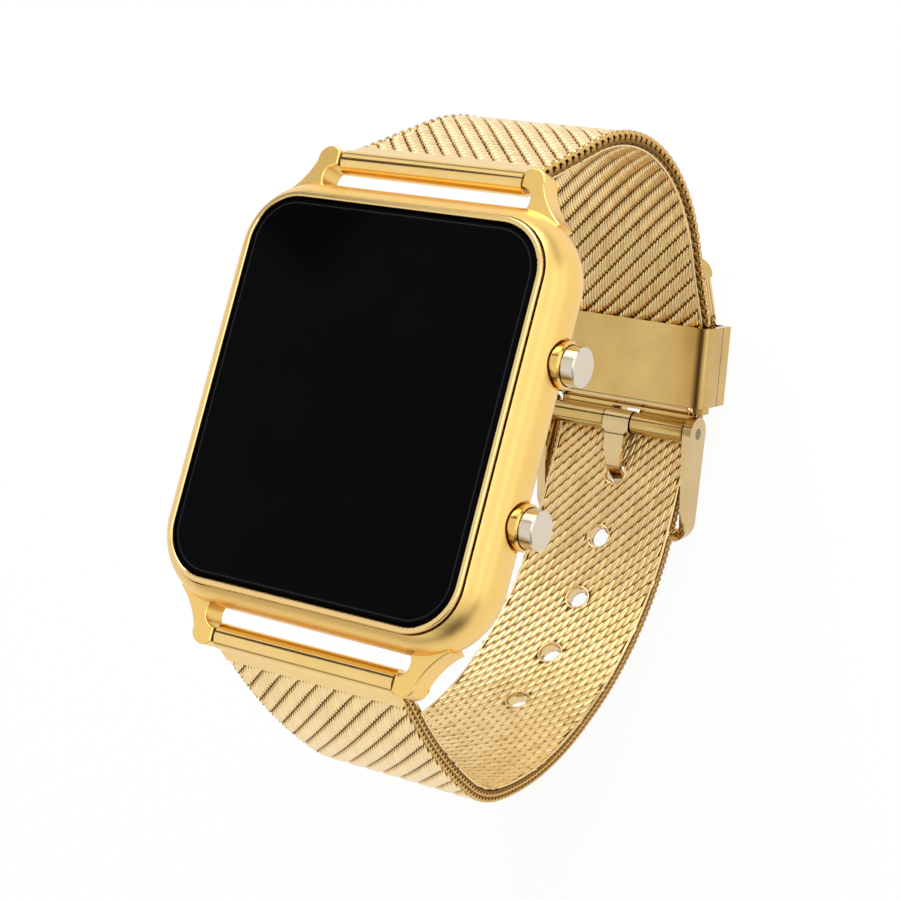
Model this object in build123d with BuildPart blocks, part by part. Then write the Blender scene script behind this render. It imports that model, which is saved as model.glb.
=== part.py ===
from build123d import *
import math
import os

# A rectangular LED wristwatch on a woven metal strap, closed at its buckle. Lengths are millimetres.
# The origin is the centre of the case back's outer face. +Z goes up through the crystal, +Y to
# 12 o'clock and +X to 3 o'clock, where the two buttons stand.

os.makedirs("parts", exist_ok=True)

# Case casting
case_width = 32.5
case_length = 36.6
case_height = 6.6
case_corner_radius = 6.5
case_side_flat = 0.1
case_wall = 4.65
cavity_corner_radius = 6.0
cut_overrun = 1.0

# Lugs, one at each corner of the case
lug_gap = 18.3
bar_offset = 2.3
bar_height = 3.74
lug_thickness = 2.35
lug_below_bar = 1.14
lug_tip_overhang = 1.05
lug_tip_width = 1.8
lug_tip_drop = 0.4
lug_waist_depth = 1.1
lug_waist_start = 0.55
lug_foot_width = 4.4
lug_foot_inset = 1.0
lug_foot_bow = 0.5
lug_root_depth = 1.4
lug_edge_radius = 0.15

# Crystal, its rim and its gasket
bezel_band = 2.25
bezel_band_ends = 2.0
crystal_corner_radius = 4.1
crystal_thickness = 1.4
crystal_sink = 0.2
crystal_bevel = 0.3
crystal_clearance = 0.04
rim_width = 0.5
rim_proud = 0.1
rim_edge_radius = 0.15
rim_groove = 0.12
gasket_thickness = 0.3
gasket_band = 1.5

# Case back, its gasket and its four screws
back_thickness = 1.0
back_inset = 0.1
back_edge_chamfer = 0.3
back_spigot_height = 0.5
back_seal_width = 0.5
back_seal_depth = 0.5
back_seal_clearance = 0.05
screw_edge_distance = 1.4
screw_head_diameter = 1.7
screw_head_height = 0.5
screw_head_sink = 0.1
screw_shank_diameter = 0.9
screw_reach = 2.2
screw_clearance = 0.05
screw_slot_width = 0.25
screw_slot_depth = 0.25
thread_clearance = 0.01

# Movement: holder, cell, circuit board, display and contacts
module_clearance = 0.1
holder_wall = 0.85
holder_headroom = 0.4
board_clearance = 0.05
board_thickness = 0.6
display_margin = 0.1
display_thickness = 1.4
cell_diameter = 12.5
cell_thickness = 1.6
cell_edge_distance = 2.55
cell_clearance = 0.1
insulator_thickness = 0.1
insulator_margin = 0.6
contact_thickness = 0.2
contact_width = 3.0
contact_length = 8.0
contact_foot = 3.2
negative_pad_thickness = 0.3
chip_side = 3.2
chip_thickness = 0.8
chip_edge_gap = 0.3
oscillator_diameter = 1.5
oscillator_length = 5.0
pocket_side_wall = 4.0
pocket_length = 3.8
pocket_wall = 1.2
leaf_thickness = 0.15
leaf_width = 1.6
leaf_foot = 1.2
leaf_drop = 0.8
leaf_rise = 0.6
leaf_clearance = 0.1

# Buttons
button_spacing = 13.1
button_height = 3.65
button_travel = 0.7
collar_diameter = 3.85
collar_bore = 3.4
collar_proud = 0.6
collar_edge = 0.15
collar_recess_diameter = 4.2
collar_recess_depth = 0.6
collar_start = 0.4
collar_floor = 1.0
cap_diameter = 3.26
cap_proud = 1.25
cap_grip = 1.45
cap_edge_radius = 0.2
stem_diameter = 1.0
stem_clearance = 0.05
stem_groove_diameter = 0.7
clip_diameter = 1.8
clip_thickness = 0.2
clip_clearance = 0.03
seal_diameter = 2.0
seal_thickness = 0.45
seal_clearance = 0.02
coil_diameter = 2.7
coil_wire = 0.25
coil_turns = 3.5
coil_end_gap = 0.15

# Spring bars and the strap's end tubes
bar_diameter = 1.5
bar_tip_diameter = 0.8
bar_tip_reach = 0.9
bar_tip_clearance = 0.05
bar_fit = 0.05
tube_diameter = 2.2
tube_end_gap = 0.2
crimp_reach = 2.2
crimp_thickness = 1.7
crimp_slot = 0.8
crimp_slot_depth = 0.6

# Strap: a band of woven wire, wide at the lugs and narrow from the first hole on
strap_thickness = 1.4
strap_end_gap = 0.15
strap_narrow_width = 14.5
strap_taper_end = 32.5
strap_cleft = 0.04
strap_hole_diameter = 2.1
strap_hole_pitch = 6.6
holes_before = 4
holes_after = 2

# Upper strap route, from the bar at 12 o'clock into the clasp, in degrees from +Y towards +Z
upper_heading = -56.4
upper_first_run = 11.73
upper_bend_radius = 19.86
upper_bend_turn = 77.15
upper_second_run = 7.01
upper_last_radius = 3.97
upper_last_turn = 27.45
upper_clasp_run = 5.6

# Lower strap route, from the bar at 6 o'clock under the wrist, through the keeper and on as the tail
lower_heading = -120.2
lower_lead_run = 3.2
lower_lead_radius = 53.4
lower_lead_turn = 15.1
lower_first_radius = 11.5
lower_first_turn = 28.1
lower_bend_radius = 28.07
lower_bend_turn = 77.0
keeper_entry_radius = 6.0
keeper_entry = 2.8
tail_run = 3.2
tail_tip_length = 1.9
tail_tip_radius = 1.5
tail_tip_wall = 0.12

# Clasp: inner plate with hinge barrels, and the cover that closes the keeper box
clasp_length = 7.75
clasp_depth = 5.0
clasp_plate = 0.5
clasp_wall = 0.6
clasp_side_gap = 0.45
clasp_seam_depth = 3.1
clasp_roll_radius = 0.8
clasp_mouth_inset = 0.75
clasp_seat_gap = 0.1
clasp_tail_gap = 0.24
clasp_step_height = 0.2
clasp_ear = 0.6
clasp_ear_depth = 1.6
clasp_ear_gap = 0.1
clasp_stop = 0.4
clasp_stop_height = 0.9
keeper_edge_radius = 0.35

# Buckle: pin, frame and tongue
pin_drop = 2.3
pin_rise = 0.6
pin_diameter = 1.0
pin_fit = 0.03
barrel_diameter = 2.1
barrel_end_gap = 0.4
frame_side_gap = 0.35
arm_width = 0.9
arm_head_radius = 1.6
frame_corner_radius = 2.2
far_bar_diameter = 1.4
far_bar_reach = 9.6
tongue_notch_depth = 0.6
tongue_notch_gap = 0.25
tongue_width = 2.1
tongue_tip_width = 1.4
tongue_tip_radius = 0.45
tongue_thickness = 0.45
tongue_knuckle_width = 2.85
tongue_knuckle_diameter = 2.3
tongue_slot_gap = 0.15
tongue_hole_reach = 4.93
tongue_hump = 0.6
tongue_entry = 0.55
tongue_exit = 0.62
tongue_lead = 1.65
tongue_bend_radius = 0.7
tongue_landing = 1.55
tongue_tip_overhang = 0.85
tongue_bar_gap = 0.05

# Levels, from the case back's outer face upwards
case_bottom = back_thickness
case_top = case_bottom + case_height
crystal_top = case_top - crystal_sink
crystal_bottom = crystal_top - crystal_thickness
seat_level = crystal_bottom - gasket_thickness
spigot_top = case_bottom + back_spigot_height
holder_bottom = spigot_top + insulator_thickness
cell_bottom = holder_bottom + contact_thickness
cell_top = cell_bottom + cell_thickness
board_bottom = cell_top + negative_pad_thickness
board_top = board_bottom + board_thickness
holder_top = crystal_bottom - holder_headroom
lug_bottom = bar_height - lug_below_bar

# Sizes that follow from the ones above
case_side_radius = (case_height - case_side_flat) / 2
crystal_width = case_width - 2 * bezel_band
crystal_length = case_length - 2 * bezel_band_ends
cavity_width = case_width - 2 * case_wall
cavity_length = case_length - 2 * case_wall
bar_y = case_length / 2 + bar_offset
flat_width = case_width - 2 * case_side_radius
flat_length = case_length - 2 * case_side_radius
flat_corner_radius = case_corner_radius - case_side_radius
back_width = flat_width - 2 * back_inset
back_length = flat_length - 2 * back_inset
back_corner_radius = flat_corner_radius - back_inset
screw_x = back_width / 2 - back_corner_radius + (back_corner_radius - screw_edge_distance) * math.sqrt(0.5)
screw_y = back_length / 2 - back_corner_radius + (back_corner_radius - screw_edge_distance) * math.sqrt(0.5)
holder_width = cavity_width - 2 * module_clearance
holder_length = cavity_length - 2 * module_clearance
holder_corner_radius = cavity_corner_radius - module_clearance
cell_offset = holder_length / 2 - cell_edge_distance - cell_diameter / 2
board_pocket_width = holder_width - 2 * holder_wall
board_pocket_length = holder_length - 2 * holder_wall
board_pocket_radius = holder_corner_radius - holder_wall
board_width = board_pocket_width - 2 * board_clearance
board_length = board_pocket_length - 2 * board_clearance
board_corner_radius = board_pocket_radius - board_clearance
strap_root_width = lug_gap - 2 * strap_end_gap
tube_length = lug_gap - 2 * tube_end_gap
leaf_x = board_width / 2 + leaf_clearance
clasp_width = strap_narrow_width + 2 * (clasp_side_gap + clasp_wall)
frame_inner = strap_narrow_width + 2 * frame_side_gap
frame_width = frame_inner + 2 * arm_width
barrel_reach = frame_inner / 2 - barrel_end_gap


def heading_vector(degrees):
    """Unit vector in the YZ plane at an angle from +Y towards +Z."""
    return Vector(0, math.cos(math.radians(degrees)), math.sin(math.radians(degrees)))


def arc_shift(heading, radius, turn):
    """Step from one end of an arc to the other, for a turn to the left if it is positive."""
    side = math.copysign(radius, turn)
    start, end = math.radians(heading), math.radians(heading + turn)
    return Vector(0, math.sin(end) - math.sin(start), math.cos(start) - math.cos(end)) * side


# The clasp's own directions: up_strap runs along its plate towards the mouth, outward away from the wrist
upper_bar = Vector(0, bar_y, bar_height)
lower_bar = Vector(0, -bar_y, bar_height)
clasp_angle = upper_heading - upper_bend_turn - upper_last_turn + 180
up_strap = heading_vector(clasp_angle)
outward = heading_vector(clasp_angle - 90)
upper_depth = clasp_plate + clasp_seat_gap + strap_thickness / 2
tail_depth = upper_depth + strap_thickness + clasp_tail_gap
upper_mouth = (
    upper_bar
    + heading_vector(upper_heading) * upper_first_run
    + arc_shift(upper_heading, upper_bend_radius, -upper_bend_turn)
    + heading_vector(upper_heading - upper_bend_turn) * upper_second_run
    + arc_shift(upper_heading - upper_bend_turn, upper_last_radius, -upper_last_turn)
)
clasp_origin = upper_mouth - up_strap * (clasp_length - clasp_mouth_inset) - outward * upper_depth
clasp_side = Plane(origin=clasp_origin, x_dir=up_strap, z_dir=(-1, 0, 0))
pin_centre = clasp_origin - up_strap * pin_drop - outward * pin_rise

# The lower strap closes on the keeper: its two straight runs are as long as that takes
lower_first_heading = lower_heading + lower_lead_turn
lower_second_heading = lower_first_heading + lower_first_turn
lower_low_heading = lower_second_heading + lower_bend_turn
keeper_turn = clasp_angle - lower_low_heading
keeper_point = clasp_origin + up_strap * keeper_entry + outward * tail_depth
lower_gap = (
    keeper_point
    - lower_bar
    - heading_vector(lower_heading) * lower_lead_run
    - arc_shift(lower_heading, lower_lead_radius, lower_lead_turn)
    - arc_shift(lower_first_heading, lower_first_radius, lower_first_turn)
    - arc_shift(lower_second_heading, lower_bend_radius, lower_bend_turn)
    - arc_shift(lower_low_heading, keeper_entry_radius, keeper_turn)
)
first_way = heading_vector(lower_first_heading)
low_way = heading_vector(lower_low_heading)
way_cross = first_way.Y * low_way.Z - first_way.Z * low_way.Y
lower_first_run = (lower_gap.Y * low_way.Z - lower_gap.Z * low_way.Y) / way_cross
lower_low_run = (first_way.Y * lower_gap.Z - first_way.Z * lower_gap.Y) / way_cross
print("upper clasp angle", clasp_angle, "lower runs", lower_first_run, lower_low_run)

# The strap's holes lie along the lower run: the tongue takes the one in use
low_run_end = keeper_point - arc_shift(lower_low_heading, keeper_entry_radius, keeper_turn)
hole_back = (low_run_end.Y - pin_centre.Y + tongue_hole_reach) / low_way.Y
hole_centre = low_run_end - low_way * hole_back
hole_place = (
    lower_lead_run
    + lower_lead_radius * math.radians(lower_lead_turn)
    + lower_first_run
    + lower_first_radius * math.radians(lower_first_turn)
    + lower_bend_radius * math.radians(lower_bend_turn)
    + lower_low_run
    - hole_back
)

# The watch rests on two lines: the keeper box's lower outer edge and the frame's far bar
box_edge_centre = clasp_origin + up_strap * keeper_edge_radius + outward * (clasp_depth - keeper_edge_radius)
rest_level = box_edge_centre.Z - keeper_edge_radius
far_bar_z = rest_level + far_bar_diameter / 2
far_bar_centre = Vector(0, pin_centre.Y - far_bar_reach, far_bar_z)
print("rest level", rest_level, "pin", pin_centre, "far bar", far_bar_centre, "hole", hole_centre)

# Case casting, with the lugs, the crystal's seat, the cavity and the button holes
lug_inner = lug_gap / 2
lug_tip_y = bar_y + lug_tip_overhang
lug_foot_y = case_length / 2 - lug_foot_inset
with BuildPart() as lugs:
    with BuildSketch(Plane.XY.offset(lug_bottom)):
        with BuildLine():
            tip = ThreePointArc(
                (lug_inner, lug_tip_y - lug_tip_drop),
                (lug_inner + lug_tip_width / 2, lug_tip_y),
                (lug_inner + lug_tip_width, lug_tip_y - lug_tip_drop),
            )
            foot = (lug_inner + lug_foot_width, lug_foot_y)
            outer = ThreePointArc(
                tip @ 1,
                (
                    lug_inner + (lug_tip_width + lug_foot_width) / 2 - lug_foot_bow,
                    (lug_tip_y - lug_tip_drop + lug_foot_y) / 2,
                ),
                foot,
            )
            root = Polyline(
                outer @ 1,
                (lug_inner + lug_foot_width - lug_root_depth, lug_foot_y - lug_root_depth),
                (lug_inner, lug_foot_y - lug_root_depth),
                (lug_inner, case_length / 2 - lug_waist_start),
            )
            waist = ThreePointArc(
                root @ 1,
                (lug_inner + lug_waist_depth, (case_length / 2 + bar_y - 2 * lug_waist_start) / 2),
                (lug_inner, bar_y - lug_waist_start),
            )
            Line(waist @ 1, tip @ 0)
        make_face()
        mirror(about=Plane.YZ)
        mirror(about=Plane.XZ)
    extrude(amount=lug_thickness)
    fillet(lugs.faces().filter_by(Axis.Z).edges(), lug_edge_radius)

pocket_step = crystal_clearance + rim_width + rim_groove
button_places = {"upper": button_spacing / 2, "lower": -button_spacing / 2}
screw_places = [(x, y) for x in (-screw_x, screw_x) for y in (-screw_y, screw_y)]
with BuildPart() as case_middle:
    with BuildSketch(Plane.XY.offset(case_bottom)):
        RectangleRounded(case_width, case_length, case_corner_radius)
    extrude(amount=case_height)
    fillet(case_middle.faces().filter_by(Axis.Z).edges(), case_side_radius)
    add(lugs.part)
    with BuildSketch(Plane.XY.offset(seat_level)):
        RectangleRounded(
            crystal_width + 2 * pocket_step, crystal_length + 2 * pocket_step, crystal_corner_radius + pocket_step
        )
    extrude(amount=case_height, mode=Mode.SUBTRACT)
    with BuildSketch(Plane.XY.offset(case_bottom - cut_overrun)):
        RectangleRounded(cavity_width, cavity_length, cavity_corner_radius)
    extrude(amount=seat_level - case_bottom + 2 * cut_overrun, mode=Mode.SUBTRACT)
    with BuildSketch(Plane.YZ.offset(cavity_width / 2 - cut_overrun)):
        with Locations(*[(y, button_height) for y in button_places.values()]):
            Circle(collar_diameter / 2)
    extrude(amount=case_wall + 2 * cut_overrun, mode=Mode.SUBTRACT)
    with BuildSketch(Plane.YZ.offset(case_width / 2 - collar_recess_depth)):
        with Locations(*[(y, button_height) for y in button_places.values()]):
            Circle(collar_recess_diameter / 2)
    extrude(amount=collar_recess_depth + cut_overrun, mode=Mode.SUBTRACT)
    with BuildSketch(Plane.XY.offset(case_bottom - cut_overrun)):
        with Locations(*screw_places):
            Circle(screw_shank_diameter / 2 + thread_clearance)
    extrude(amount=cut_overrun + screw_reach + screw_clearance, mode=Mode.SUBTRACT)
    with BuildSketch(Plane.YZ):
        with Locations((bar_y, bar_height), (-bar_y, bar_height)):
            Circle(bar_tip_diameter / 2 + bar_tip_clearance)
    extrude(amount=lug_inner + bar_tip_reach + bar_tip_clearance, both=True, mode=Mode.SUBTRACT)
case_middle.part.label = "case_middle"
export_step(case_middle.part, "parts/case_middle.step")

# Bright rim round the crystal
rim_inner = crystal_clearance
rim_outer = crystal_clearance + rim_width
with BuildPart() as bezel_rim:
    with BuildSketch(Plane.XY.offset(seat_level)):
        RectangleRounded(
            crystal_width + 2 * rim_outer, crystal_length + 2 * rim_outer, crystal_corner_radius + rim_outer
        )
        RectangleRounded(
            crystal_width + 2 * rim_inner,
            crystal_length + 2 * rim_inner,
            crystal_corner_radius + rim_inner,
            mode=Mode.SUBTRACT,
        )
    extrude(amount=crystal_top + rim_proud - seat_level)
    fillet(bezel_rim.faces().sort_by(Axis.Z)[-1].edges(), rim_edge_radius)
bezel_rim.part.label = "bezel_rim"
export_step(bezel_rim.part, "parts/bezel_rim.step")

# Crystal and the flat gasket that it sits on
with BuildPart() as crystal:
    with BuildSketch(Plane.XY.offset(crystal_bottom)):
        RectangleRounded(crystal_width, crystal_length, crystal_corner_radius)
    extrude(amount=crystal_thickness)
    chamfer(crystal.faces().sort_by(Axis.Z)[-1].edges(), crystal_bevel)
crystal.part.label = "crystal"
export_step(crystal.part, "parts/crystal.step")

with BuildPart() as crystal_gasket:
    with BuildSketch(Plane.XY.offset(seat_level)):
        RectangleRounded(crystal_width, crystal_length, crystal_corner_radius)
        RectangleRounded(
            crystal_width - 2 * gasket_band,
            crystal_length - 2 * gasket_band,
            crystal_corner_radius - gasket_band,
            mode=Mode.SUBTRACT,
        )
    extrude(amount=gasket_thickness)
crystal_gasket.part.label = "crystal_gasket"
export_step(crystal_gasket.part, "parts/crystal_gasket.step")

# Case back with its spigot, seal groove and screw holes
seal_inner = back_seal_clearance
seal_outer = back_seal_clearance + back_seal_width
groove_outer = seal_outer + back_seal_clearance
with BuildPart() as case_back:
    with BuildSketch():
        RectangleRounded(back_width, back_length, back_corner_radius)
    extrude(amount=back_thickness)
    chamfer(case_back.faces().sort_by(Axis.Z)[0].edges(), back_edge_chamfer)
    with BuildSketch(Plane.XY.offset(case_bottom - back_seal_depth)):
        RectangleRounded(
            cavity_width + 2 * groove_outer, cavity_length + 2 * groove_outer, cavity_corner_radius + groove_outer
        )
    extrude(amount=back_seal_depth, mode=Mode.SUBTRACT)
    with BuildSketch(Plane.XY.offset(case_bottom - back_seal_depth)):
        RectangleRounded(holder_width, holder_length, holder_corner_radius)
    extrude(amount=back_seal_depth + back_spigot_height)
    with BuildSketch():
        with Locations(*screw_places):
            Circle(screw_head_diameter / 2 + screw_clearance)
    extrude(amount=screw_head_sink + screw_head_height, mode=Mode.SUBTRACT)
    with BuildSketch():
        with Locations(*screw_places):
            Circle(screw_shank_diameter / 2 + screw_clearance)
    extrude(amount=back_thickness, mode=Mode.SUBTRACT)
case_back.part.label = "case_back"
export_step(case_back.part, "parts/case_back.step")

with BuildPart() as back_gasket:
    with BuildSketch(Plane.XY.offset(case_bottom - back_seal_depth)):
        RectangleRounded(
            cavity_width + 2 * seal_outer, cavity_length + 2 * seal_outer, cavity_corner_radius + seal_outer
        )
        RectangleRounded(
            cavity_width + 2 * seal_inner,
            cavity_length + 2 * seal_inner,
            cavity_corner_radius + seal_inner,
            mode=Mode.SUBTRACT,
        )
    extrude(amount=back_seal_depth)
back_gasket.part.label = "back_gasket"
export_step(back_gasket.part, "parts/back_gasket.step")

with BuildPart() as case_back_screws:
    with BuildSketch(Plane.XY.offset(screw_head_sink)):
        with Locations(*screw_places):
            Circle(screw_head_diameter / 2)
    extrude(amount=screw_head_height)
    with BuildSketch(Plane.XY.offset(screw_head_sink + screw_head_height)):
        with Locations(*screw_places):
            Circle(screw_shank_diameter / 2)
    extrude(amount=case_bottom + screw_reach - screw_head_sink - screw_head_height)
    with BuildSketch(Plane.XY.offset(screw_head_sink)):
        with Locations(*screw_places):
            Rectangle(screw_head_diameter + screw_clearance, screw_slot_width)
    extrude(amount=screw_slot_depth, mode=Mode.SUBTRACT)
case_back_screws.part.label = "case_back_screws"
export_step(case_back_screws.part, "parts/case_back_screws.step")

# Movement holder: it carries the board and the cell, and lets the button stems through
pocket_y = holder_length / 2 - pocket_wall - pocket_length / 2
pocket_width = holder_width - 2 * pocket_side_wall
chip_x = pocket_width / 2 - chip_edge_gap - chip_side / 2
oscillator_start = -pocket_width / 2 + chip_edge_gap
leaf_out = leaf_x + leaf_thickness
leaf_bottom = button_height - leaf_drop
stem_tip = leaf_out + leaf_clearance / 2 + button_travel
collar_in = cavity_width / 2 + collar_start
contact_slot = contact_thickness + cell_clearance
with BuildPart() as movement_holder:
    with BuildSketch(Plane.XY.offset(holder_bottom)):
        RectangleRounded(holder_width, holder_length, holder_corner_radius)
        with Locations((0, -cell_offset)):
            Circle(cell_diameter / 2 + cell_clearance, mode=Mode.SUBTRACT)
        with Locations((0, pocket_y)):
            Rectangle(pocket_width, pocket_length, mode=Mode.SUBTRACT)
        with Locations((0, -cell_offset - (cell_diameter + contact_slot) / 2)):
            Rectangle(contact_width + 2 * cell_clearance, contact_slot + cell_clearance, mode=Mode.SUBTRACT)
    extrude(amount=holder_top - holder_bottom)
    with BuildSketch(Plane.XY.offset(board_bottom)):
        RectangleRounded(board_pocket_width, board_pocket_length, board_pocket_radius)
    extrude(amount=holder_top - board_bottom, mode=Mode.SUBTRACT)
    with BuildSketch(Plane.XY.offset(leaf_bottom - leaf_clearance)):
        with Locations(*[((leaf_x - leaf_foot + leaf_out) / 2, y) for y in button_places.values()]):
            Rectangle(leaf_out - leaf_x + leaf_foot + 2 * leaf_clearance, leaf_width + 2 * leaf_clearance)
    extrude(amount=holder_top - leaf_bottom + leaf_clearance, mode=Mode.SUBTRACT)
    with BuildSketch(Plane.YZ.offset(leaf_out)):
        with Locations(*[(y, button_height) for y in button_places.values()]):
            Circle(clip_diameter / 2 + 2 * leaf_clearance)
    extrude(amount=holder_wall, mode=Mode.SUBTRACT)
movement_holder.part.label = "movement_holder"
export_step(movement_holder.part, "parts/movement_holder.step")

with BuildPart() as circuit_board:
    with BuildSketch(Plane.XY.offset(board_bottom)):
        RectangleRounded(board_width, board_length, board_corner_radius)
    extrude(amount=board_thickness)
circuit_board.part.label = "circuit_board"
export_step(circuit_board.part, "parts/circuit_board.step")

with BuildPart() as led_display:
    with BuildSketch(Plane.XY.offset(board_top)):
        RectangleRounded(
            board_width - 2 * display_margin, board_length - 2 * display_margin, board_corner_radius - display_margin
        )
    extrude(amount=display_thickness)
led_display.part.label = "led_display"
export_step(led_display.part, "parts/led_display.step")

with BuildPart() as control_chip:
    with BuildSketch(Plane.XY.offset(board_bottom)):
        with Locations((chip_x, pocket_y)):
            Rectangle(chip_side, chip_side)
    extrude(amount=-chip_thickness)
control_chip.part.label = "control_chip"
export_step(control_chip.part, "parts/control_chip.step")

with BuildPart() as oscillator_can:
    with BuildSketch(Plane.YZ.offset(oscillator_start)):
        with Locations((pocket_y, board_bottom - oscillator_diameter / 2)):
            Circle(oscillator_diameter / 2)
    extrude(amount=oscillator_length)
oscillator_can.part.label = "oscillator_can"
export_step(oscillator_can.part, "parts/oscillator_can.step")

with BuildPart() as coin_cell:
    with BuildSketch(Plane.XY.offset(cell_bottom)):
        with Locations((0, -cell_offset)):
            Circle(cell_diameter / 2)
    extrude(amount=cell_thickness)
    fillet(coin_cell.edges().filter_by(GeomType.CIRCLE), cell_clearance)
coin_cell.part.label = "coin_cell"
export_step(coin_cell.part, "parts/coin_cell.step")

# Battery contacts: a pad over the cell and an angle that comes round its edge from below
contact_edge = cell_offset + cell_diameter / 2
with BuildPart() as battery_contacts:
    with BuildSketch(Plane.XY.offset(cell_top)):
        with Locations((0, -cell_offset)):
            Rectangle(contact_width, contact_length)
    extrude(amount=negative_pad_thickness)
    with BuildSketch(Plane.XY.offset(holder_bottom)):
        with Locations((0, -contact_edge + (contact_foot - contact_thickness) / 2)):
            Rectangle(contact_width, contact_foot + contact_thickness)
    extrude(amount=contact_thickness)
    with BuildSketch(Plane.XY.offset(holder_bottom)):
        with Locations((0, -contact_edge - contact_thickness / 2)):
            Rectangle(contact_width, contact_thickness)
    extrude(amount=board_bottom - holder_bottom)
battery_contacts.part.label = "battery_contacts"
export_step(battery_contacts.part, "parts/battery_contacts.step")

with BuildPart() as insulator_sheet:
    with BuildSketch(Plane.XY.offset(spigot_top)):
        RectangleRounded(
            holder_width - 2 * insulator_margin,
            holder_length - 2 * insulator_margin,
            holder_corner_radius - insulator_margin,
        )
    extrude(amount=insulator_thickness)
insulator_sheet.part.label = "insulator_sheet"
export_step(insulator_sheet.part, "parts/insulator_sheet.step")

# Switch leaves: angles under the board's edge, each facing a button's stem
with BuildPart() as switch_leaves:
    with BuildSketch(Plane.XY.offset(board_bottom - leaf_thickness)):
        with Locations(*[(leaf_x - leaf_foot / 2 + leaf_thickness / 2, y) for y in button_places.values()]):
            Rectangle(leaf_foot + leaf_thickness, leaf_width)
    extrude(amount=leaf_thickness)
    with BuildSketch(Plane.XY.offset(leaf_bottom)):
        with Locations(*[(leaf_x + leaf_thickness / 2, y) for y in button_places.values()]):
            Rectangle(leaf_thickness, leaf_width)
    extrude(amount=leaf_drop + leaf_rise)
switch_leaves.part.label = "switch_leaves"
export_step(switch_leaves.part, "parts/switch_leaves.step")

# Buttons: a collar pressed into the case, a capped stem, its coil spring, its clip and its seal
collar_out = case_width / 2 + collar_proud
collar_shoulder = collar_in + collar_floor
cap_inner = collar_out - cap_grip
cap_outer = collar_out + cap_proud
clip_out = collar_in - clip_clearance
seal_recess = seal_thickness + seal_clearance
coil_height = cap_inner - collar_shoulder - 2 * coil_end_gap
for side, button_y in button_places.items():
    with BuildPart() as button_tube:
        with BuildSketch(Plane.YZ.offset(collar_in)):
            with Locations((button_y, button_height)):
                Circle(collar_diameter / 2)
                Circle(stem_diameter / 2 + stem_clearance, mode=Mode.SUBTRACT)
        extrude(amount=collar_out - collar_in)
        chamfer(button_tube.faces().sort_by(Axis.X)[-1].edges().sort_by(SortBy.LENGTH)[-1], collar_edge)
        with BuildSketch(Plane.YZ.offset(collar_shoulder)):
            with Locations((button_y, button_height)):
                Circle(collar_bore / 2)
        extrude(amount=collar_out - collar_shoulder, mode=Mode.SUBTRACT)
        with BuildSketch(Plane.YZ.offset(collar_shoulder - seal_recess)):
            with Locations((button_y, button_height)):
                Circle(seal_diameter / 2 + seal_clearance)
        extrude(amount=seal_recess, mode=Mode.SUBTRACT)
    button_tube.part.label = f"button_tube_{side}"
    export_step(button_tube.part, f"parts/button_tube_{side}.step")

    with BuildPart() as button_cap:
        with BuildSketch(Plane.YZ.offset(cap_inner)):
            with Locations((button_y, button_height)):
                Circle(cap_diameter / 2)
        extrude(amount=cap_outer - cap_inner)
        fillet(button_cap.faces().sort_by(Axis.X)[-1].edges(), cap_edge_radius)
        with BuildSketch(Plane.YZ.offset(stem_tip)):
            with Locations((button_y, button_height)):
                Circle(stem_diameter / 2)
        extrude(amount=cap_inner - stem_tip)
        with BuildSketch(Plane.YZ.offset(clip_out - clip_thickness)):
            with Locations((button_y, button_height)):
                Circle(stem_diameter / 2)
                Circle(stem_groove_diameter / 2, mode=Mode.SUBTRACT)
        extrude(amount=clip_thickness, mode=Mode.SUBTRACT)
    button_cap.part.label = f"button_cap_{side}"
    export_step(button_cap.part, f"parts/button_cap_{side}.step")

    with BuildPart() as button_clip:
        with BuildSketch(Plane.YZ.offset(clip_out - clip_thickness)):
            with Locations((button_y, button_height)):
                Circle(clip_diameter / 2)
                Circle(stem_groove_diameter / 2, mode=Mode.SUBTRACT)
            with Locations((button_y, button_height - clip_diameter / 4)):
                Rectangle(stem_groove_diameter, clip_diameter / 2, mode=Mode.SUBTRACT)
        extrude(amount=clip_thickness)
    button_clip.part.label = f"button_clip_{side}"
    export_step(button_clip.part, f"parts/button_clip_{side}.step")

    with BuildPart() as button_spring:
        with BuildLine():
            coil = Helix(
                coil_height / coil_turns,
                coil_height,
                (coil_diameter - coil_wire) / 2,
                center=(collar_shoulder + coil_end_gap, button_y, button_height),
                direction=(1, 0, 0),
            )
        with BuildSketch(Plane(origin=coil @ 0, z_dir=coil % 0)):
            Circle(coil_wire / 2)
        sweep()
    button_spring.part.label = f"button_spring_{side}"
    export_step(button_spring.part, f"parts/button_spring_{side}.step")

with BuildPart() as button_seals:
    with BuildSketch(Plane.YZ.offset(collar_shoulder - seal_recess)):
        with Locations(*[(y, button_height) for y in button_places.values()]):
            Circle(seal_diameter / 2)
            Circle(stem_diameter / 2 + seal_clearance, mode=Mode.SUBTRACT)
    extrude(amount=seal_thickness)
button_seals.part.label = "button_seals"
export_step(button_seals.part, "parts/button_seals.step")

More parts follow.
